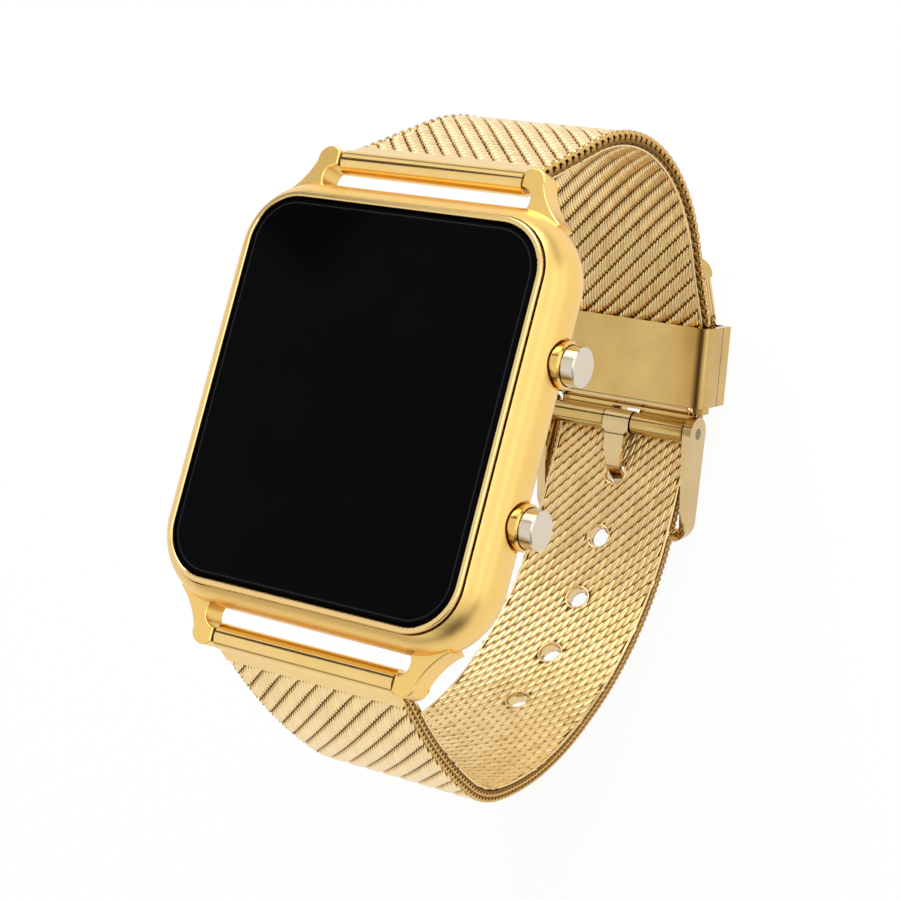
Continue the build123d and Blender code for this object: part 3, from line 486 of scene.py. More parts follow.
class Plain(Enum):
    """The finishes that aren't gold."""

    CRYSTAL = CrystalFinish()
    STEEL = MetalFinish(
        "turned_steel", (0.62, 0.60, 0.57), (0.70, 0.68, 0.64), 0.3, 0.06, 0.2 * MM, (1.0, 1.0, 6.0)
    )
    BACK = MetalFinish(
        "brushed_back", (0.50, 0.48, 0.45), (0.57, 0.55, 0.51), 0.34, 0.08, 0.12 * MM, (40.0, 1.0, 1.0)
    )
    SPRING = MetalFinish("spring_steel", (0.50, 0.49, 0.47), (0.60, 0.59, 0.57), 0.28, 0.05)
    PIN = MetalFinish("dark_pin", (0.22, 0.17, 0.10), (0.30, 0.24, 0.15), 0.3, 0.05)
    CONTACT = MetalFinish("contact_brass", (0.72, 0.52, 0.20), (0.80, 0.60, 0.27), 0.26, 0.06)
    RUBBER = SoftFinish("gasket_rubber", (0.022, 0.022, 0.022), (0.014, 0.014, 0.014), 0.62)
    HOLDER = SoftFinish("holder_plastic", (0.62, 0.62, 0.58), (0.55, 0.55, 0.51), 0.5)
    BOARD = SoftFinish("board_green", (0.016, 0.13, 0.045), (0.010, 0.09, 0.030), 0.38)
    PANEL = SoftFinish("display_panel", (0.008, 0.008, 0.009), (0.005, 0.005, 0.006), 0.2)
    CHIP = SoftFinish("chip_black", (0.020, 0.020, 0.021), (0.014, 0.014, 0.015), 0.55)
    FILM = SoftFinish("amber_film", (0.42, 0.24, 0.06), (0.36, 0.20, 0.05), 0.3)
    FLAG = SoftFinish("flag_cloth", (0.05, 0.035, 0.02), (0.04, 0.03, 0.018), 0.9)


def paint(nodes: Mapping[str, Enum | Finish]) -> None:
    """Give CAD nodes their finishes by their material slots.

    Args:
        nodes: Each node's name with its finish.
    """
    for name, choice in nodes.items():
        finish = choice.value if isinstance(choice, Enum) else choice
        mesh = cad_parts[name].data
        if not mesh.materials:
            mesh.materials.append(None)
        for place in range(len(mesh.materials)):
            mesh.materials[place] = finish.material()
        LOG.info("CAD node %s is %s", name, finish.name)


@dataclass
class Shape:
    """Points, faces and tones that become one piece."""

    points: list[np.ndarray] = field(default_factory=list)
    faces: list[np.ndarray] = field(default_factory=list)
    tones: list[np.ndarray] = field(default_factory=list)
    count: int = 0

    def add_rings(self, rings: np.ndarray, tone: np.ndarray | float = 1.0, closed: bool = False) -> None:
        """Add tubes that share their number of rings and sides.

        Args:
            rings: Points as (tube, ring, side, 3).
            tone: Wire tones as (tube, ring, side), or one for all.
            closed: Whether each tube's last ring joins its first.
        """
        tubes, steps, sides, _ = rings.shape
        index = np.arange(tubes * steps * sides).reshape(tubes, steps, sides) + self.count
        after = np.roll(index, -1, axis=1) if closed else index[:, 1:]
        before = index if closed else index[:, :-1]
        quads = np.stack([before, np.roll(before, -1, 2), np.roll(after, -1, 2), after], axis=-1)
        self.faces.append(quads.reshape(-1, 4))
        if not closed:
            self._add_caps(index, sides)
        self.points.append(rings.reshape(-1, 3))
        self.tones.append(np.broadcast_to(tone, rings.shape[:3]).reshape(-1))
        self.count += tubes * steps * sides

    def _add_caps(self, index: np.ndarray, sides: int) -> None:
        """Close both ends of open tubes with quads.

        Args:
            index: Numbers of the tubes' points as (tube, ring, side).
            sides: How many sides the tubes have.
        """
        for ring, turn in ((index[:, 0], -1), (index[:, -1], 1)):
            for corner in range(0, sides - 2, 2):
                quad = ring[:, [0, corner + 1, corner + 2, min(corner + 3, sides - 1)]]
                self.faces.append(quad[:, ::turn])

    def piece(self, name: str, finish: Enum, body: str) -> bpy.types.Object:
        """Make the piece and let it ride.

        Args:
            name: The piece's name.
            finish: Its finish.
            body: The CAD body that it moves with.

        Returns:
            The new object.
        """
        points = np.concatenate(self.points)
        faces = np.concatenate(self.faces)
        mesh = bpy.data.meshes.new(name)
        mesh.from_pydata(points.tolist(), [], [tuple(dict.fromkeys(face)) for face in faces.tolist()])
        mesh.polygons.foreach_set("use_smooth", [True] * len(mesh.polygons))
        tone = mesh.attributes.new("wire_tone_and_shade", "FLOAT", "POINT")
        tone.data.foreach_set("value", np.concatenate(self.tones).astype(np.float32))
        mesh.materials.append(finish.value.material())
        mesh.validate()
        made = add_object(name, mesh)
        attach(made, body)
        LOG.info("piece %s: %d faces", name, len(mesh.polygons))
        return made


@dataclass(frozen=True)
class Run:
    """One stretch of a strap's centre line. It is straight if its radius is nought."""

    length: float
    radius: float = 0.0
    left: bool = True


class Route:
    """A strap's centre line in the YZ plane, and the places beside it."""

    def __init__(self, start: Pair, heading: float, runs: Sequence[Run], outward: int) -> None:
        """Lay the runs end to end.

        Args:
            start: Y and Z of the spring bar's axis.
            heading: First direction in degrees, from +Y towards +Z.
            runs: The stretches in order.
            outward: 1 if the wrist is to the right of the line, -1 if it is to its left.
        """
        self.outward = outward
        self.marks = [0.0]
        self.begins = [(start[0], start[1], math.radians(heading))]
        self.runs = list(runs)
        for run in self.runs:
            here = self._step(self.begins[-1], run, np.array([run.length]))
            self.begins.append(tuple(float(part[0]) for part in here))
            self.marks.append(self.marks[-1] + run.length)
        self.length = self.marks[-1]

    @staticmethod
    def _step(begin: tuple[float, float, float], run: Run, along: np.ndarray) -> tuple[np.ndarray, ...]:
        """Walk along one run.

        Args:
            begin: Y, Z and heading where the run begins.
            run: The run.
            along: Distances along it.

        Returns:
            Y, Z and heading at those distances.
        """
        y, z, heading = begin
        if not run.radius:
            return y + along * math.cos(heading), z + along * math.sin(heading), heading + 0 * along
        bend = run.radius if run.left else -run.radius
        turned = heading + along / bend
        return (
            y + bend * (np.sin(turned) - math.sin(heading)),
            z - bend * (np.cos(turned) - math.cos(heading)),
            turned,
        )

    def at(self, along: np.ndarray) -> tuple[np.ndarray, np.ndarray, np.ndarray]:
        """Walk along the whole line.

        Args:
            along: Distances from the spring bar's axis.

        Returns:
            Y, Z and heading at those distances.
        """
        along = np.asarray(along, float)
        y, z, heading = (np.zeros_like(along) for _ in range(3))
        which = np.clip(np.searchsorted(self.marks, along, side="right") - 1, 0, len(self.runs) - 1)
        for number, run in enumerate(self.runs):
            here = which == number
            rest = along[here] - self.marks[number]
            y[here], z[here], heading[here] = self._step(self.begins[number], run, rest)
        return y, z, heading

    def place(self, across: np.ndarray, along: np.ndarray, out: np.ndarray) -> np.ndarray:
        """Points beside the centre line.

        Args:
            across: Distances along +X.
            along: Distances along the line.
            out: Distances away from the wrist.

        Returns:
            The points, with their last axis X, Y and Z.
        """
        y, z, heading = self.at(along)
        normal = heading + self.outward * math.pi / 2
        return np.stack([across + 0 * y, y + out * np.cos(normal), z + out * np.sin(normal)], axis=-1)


@dataclass(frozen=True)
class StrapSizes:
    """The strap's and clasp's sizes, as the part's source names them."""

    bar_y: float = 20.6 * MM
    bar_z: float = 3.74 * MM
    thickness: float = 1.4 * MM
    root_width: float = 18.0 * MM
    narrow_width: float = 14.5 * MM
    taper_end: float = 32.5 * MM
    crimp_reach: float = 2.2 * MM
    hole_pitch: float = 6.6 * MM
    hole_radius: float = 1.05 * MM
    upper_heading: float = -56.4
    upper_turns: Pair = (77.15, 27.45)
    upper_radii: Pair = (19.86 * MM, 3.97 * MM)
    upper_runs: tuple[float, float, float] = (11.73 * MM, 7.01 * MM, 5.6 * MM)
    lower_heading: float = -120.2
    lower_turns: tuple[float, float, float] = (15.1, 28.1, 77.0)
    lower_radii: tuple[float, float, float] = (53.4 * MM, 11.5 * MM, 28.07 * MM)
    lower_lead: float = 3.2 * MM
    keeper_entry_radius: float = 6.0 * MM
    keeper_entry: float = 2.8 * MM
    tail_run: float = 3.2 * MM
    clasp_length: float = 7.75 * MM
    mouth_inset: float = 0.75 * MM
    plate: float = 0.5 * MM
    seat_gap: float = 0.1 * MM
    tail_gap: float = 0.24 * MM
    pin_drop: float = 2.3 * MM
    pin_rise: float = 0.6 * MM
    tongue_reach: float = 4.93 * MM
    holes_before: int = 4
    holes_beyond: int = 2

    def half_width(self, z: np.ndarray) -> np.ndarray:
        """Half the band's width at a height."""
        share = np.clip(-z / self.taper_end, 0, 1)
        return (self.root_width + (self.narrow_width - self.root_width) * share) / 2


class StrapRoutes:
    """Both strap halves' centre lines, closed on the clasp as in the part's source."""

    def __init__(self, sizes: StrapSizes) -> None:
        """Work out the upper line, the clasp's place and the lower line.

        Args:
            sizes: The strap's and clasp's sizes.
        """
        self.sizes = sizes
        turns = [math.radians(turn) for turn in sizes.upper_turns]
        bends = [Run(radius * turn, radius, False) for radius, turn in zip(sizes.upper_radii, turns)]
        first, middle, last = (Run(length) for length in sizes.upper_runs)
        runs = [first, bends[0], middle, bends[1], last]
        self.upper = Route((sizes.bar_y, sizes.bar_z), sizes.upper_heading, runs, 1)
        self.angle = math.radians(sizes.upper_heading - sum(sizes.upper_turns) + 180)
        self.up_strap = np.array([math.cos(self.angle), math.sin(self.angle)])
        self.outward = np.array([self.up_strap[1], -self.up_strap[0]])
        upper_depth = sizes.plate + sizes.seat_gap + sizes.thickness / 2
        self.tail_step = sizes.thickness + sizes.tail_gap
        mouth = np.array(self.upper.begins[4][:2])
        reach = sizes.clasp_length - sizes.mouth_inset
        self.clasp = mouth - self.up_strap * reach - self.outward * upper_depth
        self.pin = self.clasp - self.up_strap * sizes.pin_drop
        self.lower = self._close_lower(upper_depth + self.tail_step, reach)

    def _close_lower(self, tail_depth: float, reach: float) -> Route:
        """Find the two straight runs that bring the lower strap into the keeper.

        Args:
            tail_depth: The tail's distance from the plate's inner face.
            reach: Where the upper strap starts to bend, along the clasp.

        Returns:
            The lower strap's route.
        """
        sizes = self.sizes
        bends = [
            Run(radius * math.radians(turn), radius)
            for radius, turn in zip(sizes.lower_radii, sizes.lower_turns)
        ]
        entry = Run(sizes.keeper_entry_radius * self.angle, sizes.keeper_entry_radius)
        start = (-sizes.bar_y, sizes.bar_z)
        open_runs = [Run(sizes.lower_lead), bends[0], Run(0.0), bends[1], bends[2], Run(0.0), entry]
        trial = Route(start, sizes.lower_heading, open_runs, -1)
        keeper = self.clasp + self.up_strap * sizes.keeper_entry + self.outward * tail_depth
        gap = keeper - np.array(trial.begins[-1][:2])
        high, low = trial.begins[2][2], trial.begins[5][2]
        ways = np.array([[math.cos(high), math.cos(low)], [math.sin(high), math.sin(low)]])
        high_run, low_run = (Run(float(length)) for length in np.linalg.solve(ways, gap))
        turn = math.radians(sizes.upper_turns[1])
        tail_radius = sizes.upper_radii[1] + self.tail_step
        tail = [Run(reach - sizes.keeper_entry), Run(tail_radius * turn, tail_radius), Run(sizes.tail_run)]
        runs = [Run(sizes.lower_lead), bends[0], high_run, bends[1], bends[2], low_run, entry, *tail]
        return Route(start, sizes.lower_heading, runs, -1)

    def holes(self) -> list[float]:
        """Find the holes from the one that the tongue is in.

        Returns:
            The holes' distances along the lower strap.
        """
        end_y = self.lower.begins[6][0]
        pin_y = self.pin[0] - self.outward[0] * self.sizes.pin_rise
        in_use = self.lower.marks[6] - (end_y - pin_y + self.sizes.tongue_reach)
        counts = range(-self.sizes.holes_before, self.sizes.holes_beyond + 1)
        return [in_use + count * self.sizes.hole_pitch for count in counts]


@dataclass(frozen=True)
class Weave:
    """How one face of the band is woven.

    Angles are from +X towards the strap's far end, in degrees. Tones go from 0 in a gap to 1 on a crest.
    The higher the shade is, the nearer to its ends a wire starts to darken. The flank and end terms are
    painted shade on each wire's sides and where it dives under its neighbours; the spread is each wire's own
    tone.
    """

    name: str
    finish: Wire
    face: int
    row_angle: float
    row_spacing: float
    wire_angle: float
    wire_pitch: float
    crown: float
    dive: float
    pinch: float = 0.3
    fill: float = 1.25
    spread: float = 0.1
    flank_shade: float = 0.3
    tilt: float = 0.02 * MM
    shade: float = 10.0
    base_tone: float = 0.82
    flank_level: float = 0.7
    end_dark: float = 0.9
    crown_drop: float = 0.35
    dive_power: int = 6
    flatness: Pair = (0.6, 0.8)
    ring_places: tuple[Pair, ...] = ((0, 0), (0.17, 0.06), (0.83, 0.94), (1, 1))

    def lattice(self, half: float, start: float, end: float) -> np.ndarray:
        """Place all wires that could lie on the band, with each row half a wire off the row before.

        Args:
            half: Half the band's width.
            start: Where the band starts.
            end: Where it ends.

        Returns:
            The wires' centres as (wire, 2), across and along.
        """
        way = self.direction(self.row_angle)
        side = np.array([-way[1], way[0]])
        reach = math.hypot(half, end - start) + self.row_spacing
        rows = np.arange(-math.ceil(reach / self.row_spacing), math.ceil(reach / self.row_spacing) + 1)
        most = math.ceil(2 * reach / self.wire_pitch)
        steps = np.arange(-most, most + 1)
        row, step = np.meshgrid(rows, steps, indexing="ij")
        lean = math.tan(math.radians(self.wire_angle - self.row_angle))
        slide = (self.row_spacing / lean / self.wire_pitch + 0.5) % 1
        centres = (
            row[..., None] * self.row_spacing * side
            + (step + row * slide)[..., None] * self.wire_pitch * way
            + np.array([0.0, (start + end) / 2])
        )
        return centres.reshape(-1, 2)

    @staticmethod
    def direction(angle: float) -> np.ndarray:
        """Unit vector at an angle."""
        return np.array([math.cos(math.radians(angle)), math.sin(math.radians(angle))])


@dataclass
class StrapHalf:
    """One half of the woven strap: core, wires of both faces, edge loops, border wires and hole liners."""

    side: str
    route: Route
    sizes: StrapSizes
    weaves: tuple[Weave, Weave]
    holes: Sequence[float] = ()
    loop_pitch: float = 1.05 * MM
    loop_radius: float = 0.40 * MM
    loop_wire: float = 0.21 * MM
    loop_lifts: tuple[float, ...] = (0.2 * MM,)
    loop_out: float = 0.18 * MM
    loop_stretch: float = 1.12
    loop_turn: float = 0.25
    loop_tone: float = 0.45
    loop_shade_swing: Pair = (0.45, 0.2)
    bound_end: float = 0.0
    border_wire: float = 0.13 * MM
    border_step: float = 0.5 * MM
    border_tone: float = 0.8
    edge_margin: float = 0.16 * MM
    liner_width: float = 0.24 * MM
    liner_round: float = 0.08 * MM
    liner_tone: float = 0.75
    liner_cover_share: float = 0.6
    least_span: float = 0.35
    rail_wire: float = 0.22 * MM
    rail_steps: int = 16
    # The middle rail's lower tone is painted shade between the outer rails.
    rail_tones: tuple[float, float, float] = (0.7, 0.45, 0.7)
    core_half: float = 0.36 * MM
    core_inset: float = 0.1 * MM
    core_tone: float = 0.4
    cell: float = 0.45 * MM
    seed: int = 7

    def build(self) -> None:
        """Make all pieces of the half and let the core stand for its CAD node."""
        body = f"strap_{self.side}"
        node = f"strap_mesh_{self.side}"
        core = self._core().piece(f"{self.side}_strap_core", Wire.CORE, body)
        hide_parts(node)
        parts = [
            (f"{self.side}_strap_{weave.name}_wires", self._wires(weave), weave.finish)
            for weave in self.weaves
        ]
        parts.append((f"{self.side}_strap_edge_loops", self._loops(), Wire.EDGE))
        parts.append((f"{self.side}_strap_border_wires", self._borders(), Wire.BORDER))
        if self.holes:
            parts.append((f"{self.side}_strap_hole_liners", self._liners(), Wire.BORDER))
        for name, shape, finish in parts:
            shape.piece(name, finish, body)

    def _half(self, along: np.ndarray) -> np.ndarray:
        """Half the band's width along the route."""
        return self.sizes.half_width(self.route.at(along)[1])

    @property
    def start(self) -> float:
        """Where the woven band starts, just inside the crimp."""
        return self.sizes.crimp_reach

    @property
    def end(self) -> float:
        """Where the woven band ends."""
        return self.route.length

    def _core(self) -> Shape:
        """Lay the dark body under the wires, as a grid on each face with the holes left open. Its brown is
        painted shade for the weave's depths.

        Returns:
            The core's shape.
        """
        steps = int((self.end - self.start) / self.cell)
        columns = 2 * int(self.sizes.root_width / 2 / self.cell)
        along = np.linspace(self.start, self.end, steps + 1)
        across = np.linspace(-1, 1, columns + 1)
        grid_x = across[None, :] * (self._half(along) - self.core_inset)[:, None]
        grid_s = along[:, None] + 0 * grid_x
        for hole in self.holes:
            gap = np.hypot(grid_x, grid_s - hole)
            near = (gap < self.sizes.hole_radius + 0.5 * self.cell) & (gap > 0)
            scale = np.where(near, (self.sizes.hole_radius + self.core_inset) / np.where(gap > 0, gap, 1), 1)
            grid_x, grid_s = grid_x * scale, hole + (grid_s - hole) * scale
        middle_x, middle_s = ((grid[:-1, :-1] + grid[1:, 1:]) / 2 for grid in (grid_x, grid_s))
        keep = np.ones(middle_x.shape, bool)
        for hole in self.holes:
            keep &= np.hypot(middle_x, middle_s - hole) > self.sizes.hole_radius
        index = np.arange(grid_x.size).reshape(grid_x.shape)
        quads = np.stack([index[:-1, :-1], index[:-1, 1:], index[1:, 1:], index[1:, :-1]], axis=-1)[keep]
        shape = Shape()
        for face in (1, -1):
            points = self.route.place(grid_x, grid_s, np.full_like(grid_x, face * self.core_half))
            shape.faces.append(quads[:, ::face] + shape.count)
            shape.points.append(points.reshape(-1, 3))
            shape.tones.append(np.full(grid_x.size, self.core_tone))
            shape.count += grid_x.size
        for rim, turn in ((index[:, -1], 1), (index[:, 0], -1), (index[0], 1), (index[-1], -1)):
            wall = np.stack([rim[:-1], rim[:-1] + index.size, rim[1:] + index.size, rim[1:]], axis=-1)
            shape.faces.append(wall[:, ::turn])
        return shape

    def _span(self, centre: np.ndarray, way: np.ndarray, reach: float) -> Optional[Pair]:
        """How much of a wire stays on the band.

        Args:
            centre: The wire's middle, across and along.
            way: Its unit direction.
            reach: Half its length.

        Returns:
            Its two ends as shares of the reach, or nothing if too little is left.
        """
        low, high = -1.0, 1.0
        limit = float(self._half(np.array([np.clip(centre[1], self.start, self.end)]))[0]) - self.edge_margin
        bounds = ((0, -limit, limit), (1, self.start, self.end))
        for axis, least, most in bounds:
            step = way[axis] * reach
            if abs(step) < TINY:
                if not least < centre[axis] < most:
                    return None
                continue
            ends = sorted(((least - centre[axis]) / step, (most - centre[axis]) / step))
            low, high = max(low, ends[0]), min(high, ends[1])
        for hole in self.holes:
            offset = centre - np.array([0.0, hole])
            ring = self.sizes.hole_radius + self.liner_cover_share * self.liner_width
            if np.hypot(*offset) > ring + reach:
                continue
            middle = -float(offset @ way)
            root = ring**2 - float(offset @ offset) + middle**2
            if root <= 0:
                continue
            near, far = (middle - math.sqrt(root)) / reach, (middle + math.sqrt(root)) / reach
            low, high = (low, min(high, near)) if near - low > high - far else (max(low, far), high)
        return (low, high) if high - low > self.least_span else None

    def _wires(self, weave: Weave, rings: int = 8, sides: int = 8) -> Shape:
        """Lay one face's wires, each a low arch that dives under its neighbours at both ends.

        Args:
            weave: How the face is woven.
            rings: Number of rings along a wire.
            sides: Number of points round it.

        Returns:
            The wires' shape.
        """
        way = weave.direction(weave.wire_angle)
        row = weave.direction(weave.row_angle)
        reach = weave.row_spacing / abs(way[0] * -row[1] + way[1] * row[0]) / 2
        kept = []
        for centre in weave.lattice(self.sizes.root_width / 2, self.start, self.end):
            inside = abs(centre[0]) <= self.sizes.root_width / 2 + reach
            inside = inside and self.start - reach < centre[1] < self.end + reach
            span = self._span(centre, way, reach) if inside else None
            if span:
                kept.append((*centre, *span))
        middle_x, middle_s, low, high = np.array(kept).T[:, :, None, None]
        chance = np.random.default_rng(self.seed).normal(0, 1, len(kept))[:, None, None]
        share = np.interp(np.linspace(0, 1, rings), *zip(*weave.ring_places))[:, None]
        bent = 2 * share - 1
        along = low + (high - low) * share
        width = weave.wire_pitch / 2 * weave.fill * (1 - weave.pinch * bent**2)
        crown = weave.crown * (1 - weave.crown_drop * bent**2)
        top = self.sizes.thickness / 2 - weave.dive * np.abs(bent) ** weave.dive_power
        turn = round_angles(sides, 0.5)
        flat_cos, flat_sin = (
            np.sign(part) * np.abs(part) ** power
            for part, power in zip((np.cos(turn), np.sin(turn)), weave.flatness)
        )
        lift = top - crown + crown * flat_sin + weave.tilt * (flat_cos - 1)
        turned = math.copysign(1.0, row[0] * way[1] - row[1] * way[0])
        grid_x = middle_x + along * reach * way[0] - turned * row[0] * (width * flat_cos)
        grid_s = middle_s + along * reach * way[1] - turned * row[1] * (width * flat_cos)
        points = self.route.place(grid_x, grid_s, weave.face * lift)
        # Painted shade: the flank term darkens each wire's sides and the end term its dived ends; the spread
        # is its own tone.
        tone = weave.base_tone + weave.spread * chance
        tone = tone + weave.flank_shade * (np.sin(turn) - weave.flank_level)
        tone = tone - weave.end_dark * np.abs(bent) ** weave.shade
        shape = Shape()
        way_round = -1 if weave.face * self.route.outward > 0 else 1
        shape.add_rings(points[:, :, ::way_round], np.clip(tone, 0, 1)[:, :, ::way_round])
        return shape

    def _loops(self, rings: int = 14, sides: int = 6) -> Shape:
        """Bend wire loops along both edges, each turned a little so that they overlap like a chain.

        Args:
            rings: Number of rings round a loop.
            sides: Number of points round its wire.

        Returns:
            The loops' shape.
        """
        reach = self.end - self.bound_end - self.start
        count = int(reach / self.loop_pitch)
        middle = (self.start + (np.arange(count) + 0.5) * reach / count)[:, None, None]
        turn = round_angles(rings)[:, None]
        circle = round_angles(sides)
        radius = self.loop_radius + self.loop_wire * np.cos(circle)
        step = radius * np.cos(turn) * self.loop_stretch
        loop_shading, wire_shading = self.loop_shade_swing
        shape = Shape()
        for edge in (-1, 1):
            rest = edge * (self._half(middle) - self.edge_margin + self.loop_out)
            across = rest + (self.loop_wire * np.sin(circle) + self.loop_turn * step * edge)
            # Painted shade: the tone swings with the angle round each loop and round its wire.
            tone = self.loop_tone + loop_shading * np.sin(turn) + wire_shading * edge * np.sin(circle)
            for lift in self.loop_lifts:
                points = self.route.place(across, middle + step, radius * np.sin(turn) + lift)
                shape.add_rings(points, np.clip(tone, 0, 1), closed=True)
        return shape

    def _borders(self) -> Shape:
        """Lay the smooth wires along both inner edges, and the rails that bind the strap's end.

        Returns:
            The wires' and rails' shape.
        """
        steps = int((self.end - self.start) / self.border_step)
        border = np.linspace(self.start, self.end, steps)
        rail = np.linspace(self.end - self.bound_end, self.end, self.rail_steps)
        shape = Shape()
        for edge in (-1, 1):
            self._add_side_wire(shape, border, edge, -1, self.border_wire, self.border_tone)
            if self.bound_end:
                for level, tone in zip((-1, 0, 1), self.rail_tones):
                    self._add_side_wire(shape, rail, edge, level, self.rail_wire, tone)
        return shape

    def _add_side_wire(
        self, shape: Shape, along: np.ndarray, edge: int, level: int, wire: float, tone: float, sides: int = 8
    ) -> None:
        """Add one smooth wire that runs along an edge of the band.

        Args:
            shape: Where the wire goes.
            along: Distances of its rings along the route.
            edge: 1 for the +X side, -1 for the other.
            level: 1 for the outer face, 0 for the middle and -1 for the inner face.
            wire: Its radius.
            tone: Its tone.
            sides: Number of points round it.
        """
        circle = round_angles(sides)
        across = edge * (self._half(along) - wire)[:, None] + wire * np.cos(circle)
        out = level * (self.sizes.thickness / 2 - wire) + wire * np.sin(circle)
        points = self.route.place(across, along[:, None] + 0 * across, out)
        shape.add_rings(points[None], tone)

    def _liners(self, steps: int = 40) -> Shape:
        """Line the holes with smooth rings, flush with both faces.

        Args:
            steps: Number of rings round a liner.

        Returns:
            The liners' shape.
        """
        high, low = self.sizes.thickness / 2, self.sizes.thickness / 2 - self.liner_round
        half_shares = ((0, low), (0.25, high), (0.75, high), (1, low))
        profile = [*half_shares, *((share, -lift) for share, lift in reversed(half_shares))]
        reach = self.sizes.hole_radius + np.array([share for share, _ in profile]) * self.liner_width
        out = np.array([lift for _, lift in profile])
        turn = round_angles(steps)[:, None]
        shape = Shape()
        for hole in self.holes:
            points = self.route.place(reach * np.cos(turn), hole + reach * np.sin(turn), out)
            shape.add_rings(points[None], self.liner_tone, closed=True)
        return shape


@dataclass
class Strap:
    """Both strap halves, with their end tubes."""

    sizes: StrapSizes = field(default_factory=StrapSizes)
    upper_outer: Weave = Weave(
        "outer", Wire.OUTER, 1, row_angle=-49, row_spacing=1.26 * MM, wire_angle=53, wire_pitch=1.0 * MM,
        crown=0.12 * MM, dive=0.2 * MM, pinch=0.55, fill=1.12, spread=0.12, flank_shade=0.45, shade=5.0,
    )
    upper_inner: Weave = Weave(
        "inner", Wire.INNER, -1, row_angle=-45, row_spacing=1.25 * MM, wire_angle=93, wire_pitch=0.52 * MM,
        crown=0.07 * MM, dive=0.22 * MM, pinch=0.6, fill=1.1, spread=0.16, flank_shade=0.6,
    )
    lower_outer: Weave = Weave(
        "outer", Wire.OUTER, 1, row_angle=-49, row_spacing=1.41 * MM, wire_angle=105, wire_pitch=0.72 * MM,
        crown=0.07 * MM, dive=0.22 * MM, pinch=0.5, fill=1.04, spread=0.06, flank_shade=0.2, shade=7.0,
    )
    lower_inner: Weave = Weave(
        "inner", Wire.INNER, -1, row_angle=50, row_spacing=0.85 * MM, wire_angle=84, wire_pitch=0.95 * MM,
        crown=0.09 * MM, dive=0.16 * MM, pinch=0.25, fill=1.05, spread=0.14, flank_shade=0.5, tilt=0.012 * MM,
    )

    def build(self) -> None:
        """Weave both halves and paint the tubes and the tail's tip."""
        routes = StrapRoutes(self.sizes)
        StrapHalf("upper", routes.upper, self.sizes, (self.upper_outer, self.upper_inner)).build()
        StrapHalf(
            "lower", routes.lower, self.sizes, (self.lower_outer, self.lower_inner), routes.holes(),
            loop_pitch=0.6 * MM, loop_radius=0.19 * MM, loop_wire=0.12 * MM,
            loop_lifts=(0.34 * MM, -0.14 * MM), loop_out=0.08 * MM, bound_end=4.2 * MM,
        ).build()
        paint({"end_tube_upper": Gold.TUBE, "end_tube_lower": Gold.TUBE, "strap_tail_tip": Gold.CLASP})


class CaseShell:
    """Case, rim, crystal, gaskets, case back, screws and spring bars."""

    def build(self) -> None:
        """Paint the shell's nodes."""
        paint({
            "case_middle": Gold.SATIN, "bezel_rim": Gold.BRIGHT, "crystal": Plain.CRYSTAL,
            "crystal_gasket": Plain.RUBBER, "case_back": Plain.BACK, "back_gasket": Plain.RUBBER,
            "case_back_screws": Plain.STEEL, "spring_bar_upper": Plain.STEEL, "spring_bar_lower": Plain.STEEL,
        })


class Movement:
    """Holder, board, display, chip, cell and contacts, all sealed inside."""

    def build(self) -> None:
        """Paint the movement's nodes."""
        paint({
            "movement_holder": Plain.HOLDER, "circuit_board": Plain.BOARD, "led_display": Plain.PANEL,
            "control_chip": Plain.CHIP, "oscillator_can": Plain.STEEL, "coin_cell": Plain.STEEL,
            "battery_contacts": Plain.CONTACT, "insulator_sheet": Plain.FILM, "switch_leaves": Plain.CONTACT,
        })


class Buttons:
    """Both push buttons with their collars, seals, springs and clips."""

    def build(self) -> None:
        """Paint the buttons' nodes."""
        for side in ("upper", "lower"):
            paint({
                f"button_tube_{side}": Gold.COLLAR, f"button_cap_{side}": Gold.CHAMPAGNE,
                f"button_clip_{side}": Plain.SPRING, f"button_spring_{side}": Plain.SPRING,
            })
        paint({"button_seals": Plain.RUBBER})


